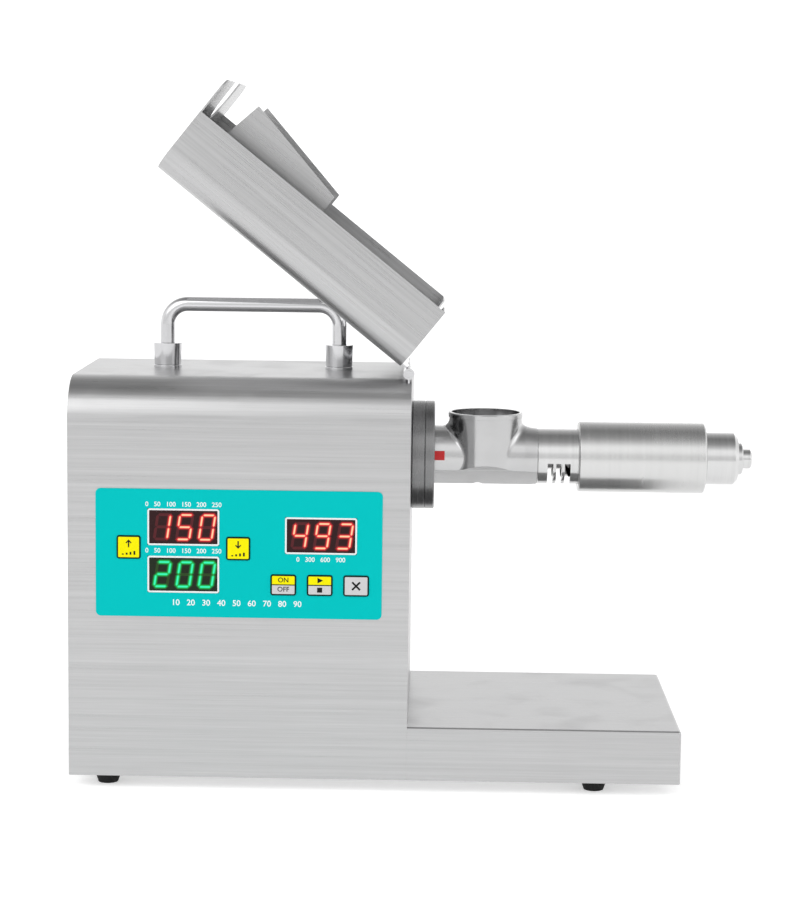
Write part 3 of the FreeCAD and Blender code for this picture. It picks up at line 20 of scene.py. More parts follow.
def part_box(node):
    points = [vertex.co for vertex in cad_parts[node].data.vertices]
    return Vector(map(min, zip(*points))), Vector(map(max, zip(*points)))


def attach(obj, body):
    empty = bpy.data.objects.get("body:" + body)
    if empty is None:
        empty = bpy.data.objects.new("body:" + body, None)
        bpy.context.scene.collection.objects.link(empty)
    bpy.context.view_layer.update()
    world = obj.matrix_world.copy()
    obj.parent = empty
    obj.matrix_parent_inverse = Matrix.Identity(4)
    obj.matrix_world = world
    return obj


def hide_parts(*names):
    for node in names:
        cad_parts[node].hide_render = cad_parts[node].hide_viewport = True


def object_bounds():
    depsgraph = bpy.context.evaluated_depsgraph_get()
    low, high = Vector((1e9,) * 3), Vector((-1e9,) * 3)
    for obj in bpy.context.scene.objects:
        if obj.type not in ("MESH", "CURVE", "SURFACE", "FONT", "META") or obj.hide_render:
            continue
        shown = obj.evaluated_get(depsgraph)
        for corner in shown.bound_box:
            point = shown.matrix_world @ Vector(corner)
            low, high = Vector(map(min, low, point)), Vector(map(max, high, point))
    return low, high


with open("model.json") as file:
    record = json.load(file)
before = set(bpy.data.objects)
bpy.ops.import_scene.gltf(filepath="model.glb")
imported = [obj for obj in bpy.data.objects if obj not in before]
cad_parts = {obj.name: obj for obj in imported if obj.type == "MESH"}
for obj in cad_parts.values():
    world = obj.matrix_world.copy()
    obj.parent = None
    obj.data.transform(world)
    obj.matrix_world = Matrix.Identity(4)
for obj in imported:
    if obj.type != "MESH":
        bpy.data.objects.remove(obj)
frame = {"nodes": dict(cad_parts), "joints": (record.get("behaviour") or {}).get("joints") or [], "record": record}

MM = 0.001
cad_low, cad_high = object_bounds()
print("nodes:", len(frame["nodes"]), "size in mm:", [round(s / MM, 1) for s in cad_high - cad_low])

# %% [markdown]
# ## Camera
# A long lens stands well back and a little above the barrel, as in a catalogue picture: verticals stay
# nearly parallel and the top of the cabinet and of the tray just show. A slight roll and turn belong to
# the view. The camera's axes are built from its forward direction, so the numbers below are all there is.

# %% Point the camera
camera_place = Vector((-0.0360, -1.6715, 0.1833))
camera_turn = math.radians(-0.94)
camera_drop = math.radians(7.36)
camera_roll = math.radians(0.71)

forward = Vector((math.sin(camera_turn) * math.cos(camera_drop),
                  math.cos(camera_turn) * math.cos(camera_drop),
                  -math.sin(camera_drop)))
level_right = forward.cross(Vector((0, 0, 1))).normalized()
level_up = level_right.cross(forward)
right = math.cos(camera_roll) * level_right + math.sin(camera_roll) * level_up
up = math.cos(camera_roll) * level_up - math.sin(camera_roll) * level_right

camera_data = bpy.data.cameras.new("camera")
camera_data.sensor_width = 36.0
camera_data.lens = 94.16
camera_data.clip_end = 50.0
camera = bpy.data.objects.new("camera", camera_data)
camera.matrix_world = Matrix.Translation(camera_place) @ Matrix((right, up, -forward)).transposed().to_4x4()
bpy.context.collection.objects.link(camera)
bpy.context.scene.camera = camera
print("camera", [round(c, 3) for c in camera_place])

# %% [markdown]
# ## A small kit for shader nodes
# Every finish below is a handful of nodes. One helper places a node with its options and its sockets, each
# socket being given either a value or the output it is wired to. Another starts a node group with named
# inputs and outputs, so that an effect such as brushed grain is built once and reused in many materials.

# %% Place a node
def place(tree, kind, sockets=None, **options):
    """Add a node; options are its settings, sockets its inputs by name or number, as a value or a wire."""
    node = tree.nodes.new(kind)
    for option, value in options.items():
        setattr(node, option, value)
    for key, value in (sockets or {}).items():
        if isinstance(value, bpy.types.NodeSocket):
            tree.links.new(value, node.inputs[key])
        else:
            node.inputs[key].default_value = value
    return node


def number(tree, operation, first, second=0.0, clamp=False):
    """Output of one Math node."""
    node = place(tree, "ShaderNodeMath", {0: first, 1: second}, operation=operation, use_clamp=clamp)
    return node.outputs[0]


def ranged(tree, value, low, high, to_low, to_high, smooth=False):
    """Output of a Map Range node from [low, high] to [to_low, to_high]."""
    style = "SMOOTHSTEP" if smooth else "LINEAR"
    node = place(tree, "ShaderNodeMapRange", {0: value, 1: low, 2: high, 3: to_low, 4: to_high},
                 interpolation_type=style)
    return node.outputs[0]


def mixed(tree, share, first, second):
    """Colour that goes from first to second with share."""
    node = place(tree, "ShaderNodeMix", {0: share, 6: first, 7: second}, data_type="RGBA")
    return node.outputs[2]


def rgb(red, green, blue):
    """Colour socket value."""
    return (red, green, blue, 1.0)


# %% Start a node group
def start_group(name, inputs, outputs):
    """New shader group with named sockets; returns its tree and the input and output nodes."""
    tree = bpy.data.node_groups.new(name, "ShaderNodeTree")
    for label, kind, value in inputs:
        socket = tree.interface.new_socket(name=label, in_out="INPUT", socket_type=kind)
        socket.default_value = value
    for label, kind in outputs:
        tree.interface.new_socket(name=label, in_out="OUTPUT", socket_type=kind)
    return tree, tree.nodes.new("NodeGroupInput"), tree.nodes.new("NodeGroupOutput")


FLOAT = "NodeSocketFloat"
VECTOR = "NodeSocketVector"

# %% [markdown]
# ## Studio
# Polished steel has no colour of its own: it shows the room. So the room is the first finish. It is a plain
# photo tent, white round the horizon, a broad soft light high in front, and darker cloth high behind. Each
# turned piece then gets its bright and dark bands by itself, as it does on a real table. The tent is painted
# in the world by direction only, and every kind of ray sees the same tent.

# %% Paint the tent
def studio_world():
    """World whose brightness depends on the height of the view direction, on front or back, left or right."""
    world = bpy.data.worlds.new("photo_tent")
    world.use_nodes = True
    tree = world.node_tree
    tree.nodes.clear()
    direction = place(tree, "ShaderNodeTexCoord").outputs["Generated"]
    parts = place(tree, "ShaderNodeSeparateXYZ", {0: direction})
    height = number(tree, "DIVIDE", number(tree, "ARCSINE", parts.outputs["Z"]), math.pi / 2)
    height = number(tree, "MAXIMUM", height, 0.0)
    tents = []
    for stops in (front_tent, back_tent):
        ramp = place(tree, "ShaderNodeValToRGB", {0: height})
        for index, (place_at, level) in enumerate(stops):
            if index < 2:
                stop = ramp.color_ramp.elements[index]
                stop.position = place_at
            else:
                stop = ramp.color_ramp.elements.new(place_at)
            stop.color = rgb(level, level, level)
        tents.append(ramp.outputs[0])
    behind = ranged(tree, parts.outputs["Y"], -0.25, 0.25, 0.0, 1.0, smooth=True)
    tent = mixed(tree, behind, tents[0], tents[1])
    side = ranged(tree, parts.outputs["X"], -0.30, 0.30, 1.0, front_right_level, smooth=True)
    in_front = ranged(tree, parts.outputs["Y"], -0.7, -0.3, 1.0, 0.0, smooth=True)
    drop = number(tree, "MULTIPLY", number(tree, "SUBTRACT", 1.0, side), in_front)
    level = number(tree, "MULTIPLY", number(tree, "SUBTRACT", 1.0, drop), tent_level)
    background = place(tree, "ShaderNodeBackground", {0: tent, 1: level})
    place(tree, "ShaderNodeOutputWorld", {0: background.outputs[0]})
    return world


tent_level = 1.45
front_right_level = 0.85
front_tent = [(0.0, 0.70), (1.0, 0.20), (0.16, 0.74), (0.27, 0.98), (0.46, 1.0), (0.60, 0.60), (0.76, 0.30)]
back_tent = [(0.0, 0.95), (1.0, 0.20), (0.07, 0.95), (0.20, 0.74), (0.45, 0.45), (0.66, 0.30), (0.84, 0.18)]
bpy.context.scene.world = studio_world()
bpy.context.scene.view_settings.view_transform = "Standard"
print("tent with", len(front_tent), "front and", len(back_tent), "back stops")

# %% [markdown]
# ## Floor and lamps
# The floor is pale and matt. Seen directly or in a mirror it adds a little of its own light, so that it
# reads as white paper while it still keeps the soft shadow of the feet. One large soft lamp stands in front
# on the left and gives the shapes a direction; a weaker one fills from the right.

# %% Lay the floor and hang the lamps
def pale_floor(size):
    """Square floor under the feet."""
    mesh = bpy.data.meshes.new("floor")
    corners = [(-size, -size, cad_low.z), (size, -size, cad_low.z), (size, size, cad_low.z),
               (-size, size, cad_low.z)]
    mesh.from_pydata(corners, [], [(0, 1, 2, 3)])
    floor = bpy.data.objects.new("floor", mesh)
    bpy.context.collection.objects.link(floor)
    material = bpy.data.materials.new("pale_paper")
    material.use_nodes = True
    tree = material.node_tree
    shader = tree.nodes["Principled BSDF"]
    shader.inputs["Base Color"].default_value = rgb(0.86, 0.86, 0.86)
    shader.inputs["Roughness"].default_value = 0.9
    shader.inputs["Specular IOR Level"].default_value = 0.1
    glow = place(tree, "ShaderNodeEmission", {0: rgb(1, 1, 1), 1: floor_glow})
    both = place(tree, "ShaderNodeAddShader", {0: shader.outputs[0], 1: glow.outputs[0]})
    rays = place(tree, "ShaderNodeLightPath")
    seen = number(tree, "MAXIMUM", rays.outputs["Is Camera Ray"], rays.outputs["Is Glossy Ray"])
    seen = number(tree, "MAXIMUM", seen, rays.outputs["Is Transmission Ray"])
    choice = place(tree, "ShaderNodeMixShader", {0: seen, 1: shader.outputs[0], 2: both.outputs[0]})
    tree.links.new(choice.outputs[0], tree.nodes["Material Output"].inputs[0])
    mesh.materials.append(material)
    return floor


def soft_lamp(name, spot, aim, size, watts):
    """Square area lamp at spot that looks at aim."""
    lamp_data = bpy.data.lights.new(name, "AREA")
    lamp_data.size = size
    lamp_data.energy = watts
    lamp = bpy.data.objects.new(name, lamp_data)
    lamp.location = spot
    lamp.rotation_euler = (Vector(aim) - Vector(spot)).to_track_quat("-Z", "Y").to_euler()
    bpy.context.collection.objects.link(lamp)
    return lamp


floor_glow = 0.45
middle = (cad_low + cad_high) / 2
pale_floor(6.0)
soft_lamp("key_lamp", (-1.1, -1.3, 1.2), middle, 1.5, 7.0)
soft_lamp("fill_lamp", (1.4, -0.9, 0.8), middle, 1.2, 2.5)
print("floor at", round(cad_low.z, 4))

# %% [markdown]
# ## Brushed grain
# Stainless sheet is brushed on a belt: thousands of fine scratches, all one way. Stretching a noise pattern
# far more across the grain than along it gives such lines. Two sizes are mixed, hair-fine lines for the
# sheen and long soft streaks for the tone. Turned pieces use the same group with the stretch along the
# barrel, where the tool leaves rings instead of lines.

# %% Group: brushed grain
grain, grain_in, grain_out = start_group(
    "brushed_grain",
    [("Vector", VECTOR, (0, 0, 0)), ("Stretch", VECTOR, (1, 1, 1))],
    [("Height", FLOAT), ("Tone", FLOAT)])
fine_place = place(grain, "ShaderNodeVectorMath", {0: grain_in.outputs["Vector"], 1: grain_in.outputs["Stretch"]},
                   operation="MULTIPLY")
wide_place = place(grain, "ShaderNodeVectorMath", {0: fine_place.outputs[0], 1: (0.21, 0.21, 0.21)},
                   operation="MULTIPLY")
fine_lines = place(grain, "ShaderNodeTexNoise", {"Vector": fine_place.outputs[0], "Scale": 1.0, "Detail": 4.0,
                                                 "Roughness": 0.65})
wide_lines = place(grain, "ShaderNodeTexNoise", {"Vector": wide_place.outputs[0], "Scale": 1.0, "Detail": 2.0,
                                                 "Roughness": 0.5})
tone = number(grain, "ADD", number(grain, "MULTIPLY", fine_lines.outputs[0], 0.55),
              number(grain, "MULTIPLY", wide_lines.outputs[0], 0.45))
grain.links.new(fine_lines.outputs[0], grain_out.inputs["Height"])
grain.links.new(ranged(grain, tone, 0.32, 0.68, 0.0, 1.0), grain_out.inputs["Tone"])
print("group", grain.name)

# %% [markdown]
# ## Handling marks
# No used metal is evenly clean. Fingers leave dull patches a few centimetres across with soft borders, and
# a cloth leaves fainter ones. The group gives a mask of such patches; each material decides how much
# duller or rougher its surface gets there.

# %% Group: handling marks
marks, marks_in, marks_out = start_group(
    "handling_marks", [("Vector", VECTOR, (0, 0, 0)), ("Per metre", FLOAT, 25.0)], [("Mask", FLOAT)])
patches = place(marks, "ShaderNodeTexNoise", {"Vector": marks_in.outputs["Vector"],
                                              "Scale": marks_in.outputs["Per metre"], "Detail": 3.0,
                                              "Roughness": 0.55, "Distortion": 0.4})
marks.links.new(ranged(marks, patches.outputs[0], 0.45, 0.72, 0.0, 1.0, smooth=True), marks_out.inputs["Mask"])
print("group", marks.name)

# %% [markdown]
# ## Soft, worn edges and a painted edge highlight
# A sheared sheet edge is never perfectly sharp. Where two faces meet, handling polishes the corner and it
# catches the light. The Bevel node rounds the shading there without touching the mesh, and comparing that
# rounded normal with the true one tells where the edges are. The materials lighten their colour along that
# mask: partly polished wear, partly a painted highlight.

# %% Group: worn edge, with the mask for the painted edge highlight
edge, edge_in, edge_out = start_group(
    "worn_edge_and_highlight", [("Radius", FLOAT, 0.0004)], [("Mask", FLOAT), ("Normal", VECTOR)])
rounded = place(edge, "ShaderNodeBevel", {"Radius": edge_in.outputs["Radius"]}, samples=4)
true_normal = place(edge, "ShaderNodeNewGeometry").outputs["Normal"]
agree = place(edge, "ShaderNodeVectorMath", {0: rounded.outputs[0], 1: true_normal}, operation="DOT_PRODUCT")
edge.links.new(ranged(edge, agree.outputs["Value"], 0.995, 0.85, 0.0, 1.0), edge_out.inputs["Mask"])
edge.links.new(rounded.outputs[0], edge_out.inputs["Normal"])
print("group", edge.name)


# %% [markdown]
# ## Metals
# One function makes every bare metal. It turns the pattern to follow the piece, reads the grain, the marks
# and the edges, and lets them shift colour, roughness and bump a little. What differs from steel to chrome
# is only the numbers: colour, how rough, how deep and which way the grain runs. The lighter colour at the
# edges is partly polished wear, partly a painted highlight.

# %% Metal recipe
def group_in(tree, group, **sockets):
    """Place a group in a material; underscores in socket names stand for spaces."""
    named = {label.replace("_", " "): value for label, value in sockets.items()}
    return place(tree, "ShaderNodeGroup", named, node_tree=group)


def metal(name, colour, roughness, stretch, turn=0.0, centre=(0, 0, 0), contrast=0.12, depth=0.00002,
          spread=0.08, marked=0.06, corner=0.0004):
    """Bare metal with grain. turn swings the pattern about Y; centre is its origin, in metres."""
    material = bpy.data.materials.new(name)
    material.use_nodes = True
    tree = material.node_tree
    shader = tree.nodes["Principled BSDF"]
    shader.inputs["Metallic"].default_value = 1.0
    where = place(tree, "ShaderNodeTexCoord").outputs["Object"]
    turned = place(tree, "ShaderNodeMapping", {"Vector": where, "Location": [-c for c in centre]})
    turned = place(tree, "ShaderNodeMapping", {"Vector": turned.outputs[0], "Rotation": (0, turn, 0)})
    lines = group_in(tree, grain, Vector=turned.outputs[0], Stretch=stretch)
    spots = group_in(tree, marks, Vector=where)
    corners = group_in(tree, edge, Radius=corner)
    dark = rgb(*(c * (1 - contrast) for c in colour))
    light = rgb(*(min(1.0, c * (1 + contrast)) for c in colour))
    # Edges lighter along the bevel mask: partly polished wear, partly a painted highlight.
    worn_and_highlit = rgb(*(min(1.0, c * 1.18) for c in colour))
    tinted = mixed(tree, lines.outputs["Tone"], dark, light)
    shader_colour = mixed(tree, number(tree, "MULTIPLY", corners.outputs["Mask"], 0.6), tinted, worn_and_highlit)
    tree.links.new(shader_colour, shader.inputs["Base Color"])
    rough = ranged(tree, lines.outputs["Tone"], 0.0, 1.0, roughness - spread / 2, roughness + spread / 2)
    rough = number(tree, "ADD", rough, number(tree, "MULTIPLY", spots.outputs["Mask"], marked))
    tree.links.new(rough, shader.inputs["Roughness"])
    bump = place(tree, "ShaderNodeBump", {"Strength": 1.0, "Distance": depth, "Height": lines.outputs["Height"],
                                          "Normal": corners.outputs["Normal"]})
    tree.links.new(bump.outputs[0], shader.inputs["Normal"])
    return material


# %% Sheet steel in three grain directions
ALONG, ACROSS = 14.0, 2200.0
STEEL = (0.47, 0.47, 0.473)
hood_turn = math.radians(frame["joints"][0]["range_deg"][1]) if "range_deg" in frame["joints"][0] else 2.466
sheet_along_x = metal("brushed_sheet", STEEL, 0.30, (ALONG, ACROSS, ACROSS))
sheet_along_y = metal("brushed_end_plate", STEEL, 0.30, (ACROSS, ALONG, ACROSS))
hood_sheet = metal("brushed_hood", STEEL, 0.28, (ALONG, ACROSS, ACROSS), turn=hood_turn)
hood_end_sheet = metal("brushed_hood_end", STEEL, 0.28, (ACROSS, ALONG, ACROSS), turn=hood_turn)
print("sheet finishes:", sheet_along_x.name, sheet_along_y.name, hood_sheet.name)

# %% Turned, polished and plated metal
sleeve_low, sleeve_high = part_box("heater_sleeve")
barrel_axis = (0.0, 0.0, (sleeve_low.z + sleeve_high.z) / 2)
RINGS = (1500.0, 30.0, 30.0)
turned_steel = metal("turned_steel", (0.60, 0.60, 0.60), 0.16, RINGS, centre=barrel_axis, contrast=0.06)
satin_sleeve = metal("satin_sleeve", (0.60, 0.60, 0.597), 0.24, RINGS, centre=barrel_axis, contrast=0.04)
polished_casting = metal("polished_casting", (0.50, 0.50, 0.503), 0.17, (90.0, 90.0, 90.0), contrast=0.05,
                         depth=0.00006, spread=0.05)
chrome = metal("chrome", (0.58, 0.58, 0.59), 0.09, (60.0, 400.0, 400.0), contrast=0.03, depth=0.000005,
               spread=0.03, marked=0.08)
dark_flange = metal("dark_flange", (0.22, 0.22, 0.222), 0.26, RINGS, centre=barrel_axis, contrast=0.08)
zinc_screw = metal("zinc_screw", (0.60, 0.60, 0.62), 0.28, (300.0, 300.0, 300.0))
black_screw = metal("black_screw", (0.06, 0.06, 0.062), 0.38, (500.0, 500.0, 500.0), contrast=0.2)
gear_steel = metal("gear_steel", (0.42, 0.42, 0.43), 0.28, RINGS, contrast=0.1)
cast_alloy = metal("cast_alloy", (0.52, 0.53, 0.54), 0.48, (700.0, 700.0, 700.0), contrast=0.1, depth=0.0001)
contact_brass = metal("contact_brass", (0.78, 0.62, 0.30), 0.25, (400.0, 400.0, 400.0))
winding = metal("varnished_winding", (0.36, 0.15, 0.06), 0.4, (60.0, 1800.0, 1800.0), contrast=0.35, depth=0.0002)
print("barrel axis height", round(barrel_axis[2], 5))


# %% [markdown]
# ## Films, plastics and rubber
# These are not metal: light enters, picks up colour and leaves. A printed film has a fine matt texture that
# breaks up reflections; moulded plastic has a slight ripple; rubber is nearly black with pale dust. Each gets
# its own scale of noise, and a painted highlight that makes its edges paler.

# %% Coloured surface recipe
def coloured(name, colour, roughness, per_metre=900.0, depth=0.00002, contrast=0.05, edge_highlight_tint=1.15,
             spread=0.06, coat=0.0, corner=0.0003, shine=0.25):
    """Film, paint, plastic or rubber with fine texture and a painted highlight that makes the edges slightly paler."""
    material = bpy.data.materials.new(name)
    material.use_nodes = True
    tree = material.node_tree
    shader = tree.nodes["Principled BSDF"]
    shader.inputs["Coat Weight"].default_value = coat
    shader.inputs["Specular IOR Level"].default_value = shine
    shader.inputs["Coat Roughness"].default_value = 0.08
    where = place(tree, "ShaderNodeTexCoord").outputs["Object"]
    texture = place(tree, "ShaderNodeTexNoise", {"Vector": where, "Scale": per_metre, "Detail": 3.0})
    spots = group_in(tree, marks, Vector=where)
    corners = group_in(tree, edge, Radius=corner)
    dark = rgb(*(c * (1 - contrast) for c in colour))
    light = rgb(*(min(1.0, c * (1 + contrast)) for c in colour))
    # Edges paler along the bevel mask: a painted highlight.
    pale_edge_highlight = rgb(*(min(1.0, c * edge_highlight_tint + 0.01) for c in colour))
    even = mixed(tree, texture.outputs[0], dark, light)
    shader_colour = mixed(tree, number(tree, "MULTIPLY", corners.outputs["Mask"], 0.5), even, pale_edge_highlight)
    tree.links.new(shader_colour, shader.inputs["Base Color"])
    rough = ranged(tree, texture.outputs[0], 0.3, 0.7, roughness - spread / 2, roughness + spread / 2)
    rough = number(tree, "ADD", rough, number(tree, "MULTIPLY", spots.outputs["Mask"], 0.05))
    tree.links.new(rough, shader.inputs["Roughness"])
    bump = place(tree, "ShaderNodeBump", {"Strength": 1.0, "Distance": depth, "Height": texture.outputs[0],
                                          "Normal": corners.outputs["Normal"]})
    tree.links.new(bump.outputs[0], shader.inputs["Normal"])
    return material


TURQUOISE = (0.0, 0.535, 0.525)
YELLOW = (0.92, 0.84, 0.0)
KEY_GREY = (0.62, 0.61, 0.62)
overlay_film = coloured("overlay_turquoise", TURQUOISE, 0.38, 2500.0, contrast=0.03, edge_highlight_tint=1.05, shine=0.05)
frame_white = coloured("frame_white", (0.86, 0.86, 0.86), 0.35, contrast=0.02)
key_yellow = coloured("key_yellow", YELLOW, 0.35, 1800.0, contrast=0.03)
key_grey = coloured("key_grey", KEY_GREY, 0.35, 1800.0, contrast=0.03)
red_paint = coloured("red_mark", (0.62, 0.005, 0.008), 0.3, 600.0, coat=0.4)
black_plastic = coloured("black_plastic", (0.022, 0.022, 0.023), 0.45, 1600.0, edge_highlight_tint=1.8)
rubber = coloured("rubber", (0.018, 0.018, 0.018), 0.75, 700.0, depth=0.0001, contrast=0.3, edge_highlight_tint=2.5)
mica = coloured("mica", (0.42, 0.33, 0.22), 0.6, 300.0, contrast=0.25)
board_green = coloured("board_green", (0.01, 0.13, 0.05), 0.35, 500.0, contrast=0.2)
print("coloured finishes ready")


# %% [markdown]
# ## Dressing the engineering model
# The record names a finish for every node. One table turns those names into the materials above, and a short
# list overrides it where the grain runs another way, as on the end plates and the hood.

# %% Give every node its finish
finishes = {
    "brushed_sheet": sheet_along_x, "rubber": rubber, "zinc_screw": zinc_screw, "chrome": chrome,
    "dark_flange": dark_flange, "black_screw": black_screw, "polished_casting": polished_casting,
    "red_mark": red_paint, "turned_steel": turned_steel, "satin_sleeve": satin_sleeve, "mica": mica,
    "probe": zinc_screw, "cast_alloy": cast_alloy, "gear_steel": gear_steel, "winding": winding,
    "black_plastic": black_plastic, "contact_brass": contact_brass, "overlay_turquoise": overlay_film,
    "frame_white": frame_white, "display_black": black_plastic, "board_green": board_green,
    "key_yellow": key_yellow, "key_two_tone": key_yellow, "key_grey": key_grey,
}
grain_overrides = {
    "left_end_plate": sheet_along_y, "right_end_plate": sheet_along_y, "hood_shell": hood_sheet,
    "heat_shield": hood_sheet, "hood_hinge_end": hood_end_sheet, "hood_slotted_end": hood_end_sheet,
}
for row in frame["record"]["subparts"]:
    node = frame["nodes"][row["node"]]
    node.data.materials.clear()
    node.data.materials.append(grain_overrides.get(row["node"], finishes[row["material_slot"]]))

# %% [markdown]
# ## New surfaces from formulas
# Every added piece below is a grid of points worked out in one go: a function of two parameters, such as
# the angle round a rim and the step along a profile. One helper joins the grid's neighbours into faces and
# closes its ends, another rounds a rectangle so that caps and frames can share its outline.

# %% Join a grid of points
def grid_mesh(name, points, wrap=(False, False), close=False, values=None, smooth_angle=35.0):
    """Object from points[i, j] in metres. Face (i, j) joins points (i, j), (i+1, j), (i+1, j+1), (i, j+1).

    wrap closes the first or second direction on itself; close caps the first and last column of j with one
    face each; values are numbers per point that a material can read by name."""
    count_i, count_j = points.shape[:2]
    index = np.arange(count_i * count_j).reshape(count_i, count_j)
    if wrap[0]:
        index = np.vstack([index, index[:1]])
    if wrap[1]:
        index = np.hstack([index, index[:, :1]])
    quads = np.stack([index[:-1, :-1], index[1:, :-1], index[1:, 1:], index[:-1, 1:]], axis=-1).reshape(-1, 4)
    faces = quads.tolist()
    if close:
        faces += [index[:count_i, 0].tolist(), index[:count_i, -1].tolist()[::-1]]
    mesh = bpy.data.meshes.new(name)
    mesh.from_pydata(points.reshape(-1, 3).tolist(), [], faces)
    for label, numbers in (values or {}).items():
        layer = mesh.attributes.new(label, "FLOAT", "POINT")
        layer.data.foreach_set("value", np.ascontiguousarray(numbers, dtype=np.float32).ravel())
    return as_object(name, mesh, smooth_angle)


def as_object(name, mesh, smooth_angle=35.0):
    """Put a mesh in the scene with its normals outward and soft only under smooth_angle degrees."""
    work = bmesh.new()
    work.from_mesh(mesh)
    bmesh.ops.recalc_face_normals(work, faces=work.faces)
    work.to_mesh(mesh)
    work.free()
    mesh.polygons.foreach_set("use_smooth", np.ones(len(mesh.polygons), dtype=bool))
    mesh.set_sharp_from_angle(angle=math.radians(smooth_angle))
    piece = bpy.data.objects.new(name, mesh)
    bpy.context.collection.objects.link(piece)
    return piece


def finish_piece(piece, material, body, node=None):
    """Give a piece its material and the body it moves with, and hide the node it stands for."""
    piece.data.materials.clear()
    piece.data.materials.append(material)
    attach(piece, body)
    if node:
        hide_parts(node)
    return piece


# %% Rounded rectangle
def rounded_rectangle(half_width, half_height, radius, per_corner=10, per_side=12):
    """Points (x, z) once round: for corner k, centre c_k + radius * (cos a, sin a); sides are evenly filled."""
    corners = np.array([(1, 1), (-1, 1), (-1, -1), (1, -1)], dtype=float)
    centres = corners * (half_width - radius, half_height - radius)
    loop = []
    for k, centre in enumerate(centres):
        angles = np.radians(90.0 * k + np.linspace(0, 90, per_corner))
        arc = centre + radius * np.stack([np.cos(angles), np.sin(angles)], axis=1)
        following = centres[(k + 1) % 4] + radius * np.array([np.cos(angles[-1]), np.sin(angles[-1])])
        side = arc[-1] + np.linspace(0, 1, per_side + 2)[1:-1, None] * (following - arc[-1])
        loop += [arc, side]
    return np.concatenate(loop)


# %% [markdown]
# ## White display frames
# Each window on the panel sits in a thin white moulded frame. It is a small profile carried round a rounded
# rectangle: out on the film, up, across with a soft shoulder, and down into the window.

# %% Mould the frames
panel_low, panel_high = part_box("panel_overlay")
panel_left, panel_top = panel_low.x / MM, panel_high.z / MM
WINDOW_CENTRES = {"temperature_now": (59.1, 25.7), "temperature_set": (59.1, 57.9), "time_left": (151.6, 30.4)}
WINDOW_SIZE = (48.3, 24.9)
FRAME_WIDTH = 1.15
FILM_Y = panel_low.y / MM
FRONT_Y = -91.5


def at_panel(across, down):
    """Place on the panel, in millimetres from its upper left corner, as x and z of the frame."""
    return panel_left + across, panel_top - down


def window_frame(name, centre):
    """p(u, v): the outline drawn in by inset(v), at depth y(v), for a profile of six corners."""
    inset = np.array([0.0, 0.0, 0.12, FRAME_WIDTH - 0.12, FRAME_WIDTH, FRAME_WIDTH])
    depth = np.array([FILM_Y + 0.05, FILM_Y - 0.30, FILM_Y - 0.38, FILM_Y - 0.38, FILM_Y - 0.30, FILM_Y + 0.05])
    x, z = at_panel(*centre)
    rings = [rounded_rectangle(WINDOW_SIZE[0] / 2 - d, WINDOW_SIZE[1] / 2 - d, 1.6 - d) for d in inset]
    points = np.stack([np.column_stack([x + r[:, 0], np.full(len(r), y), z + r[:, 1]])
                       for r, y in zip(rings, depth)], axis=1)
    return grid_mesh(name, points * MM, wrap=(True, True))


for label, centre in WINDOW_CENTRES.items():
    finish_piece(window_frame(label + "_frame", centre), frame_white, "cabinet", "display_frames")
print("frames:", len(WINDOW_CENTRES))

# %% [markdown]
# ## Glowing digits
# A display unit shows three leaning figures, each of seven bars behind dark tinted glass. Rather than cutting
# bars as solids, the glass is one fine grid and every point stores how far it lies from the nearest bar: one
# number for the bars that are lit and one for those that are dark. The material turns distance into light,
# so a bar has a pale core, a coloured rim and a faint halo, as a light-emitting diode has.

# %% Distance to the bars of a figure
BARS = {"a": (0, 1, True), "b": (1, 0.5, False), "c": (1, -0.5, False), "d": (0, -1, True), "e": (-1, -0.5, False),
        "f": (-1, 0.5, False), "g": (0, 0, True)}
LIT = {"0": "abcdef", "1": "bc", "2": "abged", "3": "abgcd", "4": "fgbc", "5": "afgcd", "9": "abcdfg"}
FIGURE_SIZE = (8.6, 16.6)
BAR_WIDTH = 1.9
LEAN = math.tan(math.radians(8.5))


def bar_distance(x, z, bar):
    """Signed distance to a bar with pointed ends: max(|n| - w/2, (|t| + |n| - l/2) / sqrt 2), t along, n across."""
    side, level, lying = BARS[bar]
    across_x = x - LEAN * z - side * FIGURE_SIZE[0] / 2
    across_z = z - level * FIGURE_SIZE[1] / 2
    along, across = (across_x, across_z) if lying else (across_z, across_x)
    length = (FIGURE_SIZE[0] if lying else FIGURE_SIZE[1] / 2) - 0.35
    across, along = np.abs(across), np.abs(along)
    return np.maximum(across - BAR_WIDTH / 2, (along + across - length / 2) / math.sqrt(2))


def display_glass(name, centre, figures, pitch=15.0):
    """Flat glass p(u, v) with the distances to lit and dark bars kept at every point."""
    half = np.array(WINDOW_SIZE) / 2 - FRAME_WIDTH + 0.05
    u, v = np.meshgrid(np.linspace(-half[0], half[0], 190), np.linspace(-half[1], half[1], 92), indexing="ij")
    lit, dark = np.full(u.shape, 9.0), np.full(u.shape, 9.0)
    for order, figure in enumerate(figures):
        x = u - (order - 1) * pitch - 0.9
        for bar in BARS:
            distance = bar_distance(x, v, bar)
            if bar in LIT[figure]:
                lit = np.minimum(lit, distance)
            else:
                dark = np.minimum(dark, distance)
    x, z = at_panel(*centre)
    front = np.stack([x + u, np.full(u.shape, FILM_Y - 0.08), z + v], axis=-1)
    back = front + (0, 0.10, 0)
    points = np.concatenate([front, back[:, ::-1]], axis=1)
    values = {"lit": np.concatenate([lit, lit[:, ::-1]], axis=1), "dark": np.concatenate([dark, dark[:, ::-1]], axis=1)}
    return grid_mesh(name, points * MM, wrap=(False, True), close=False, values=values)


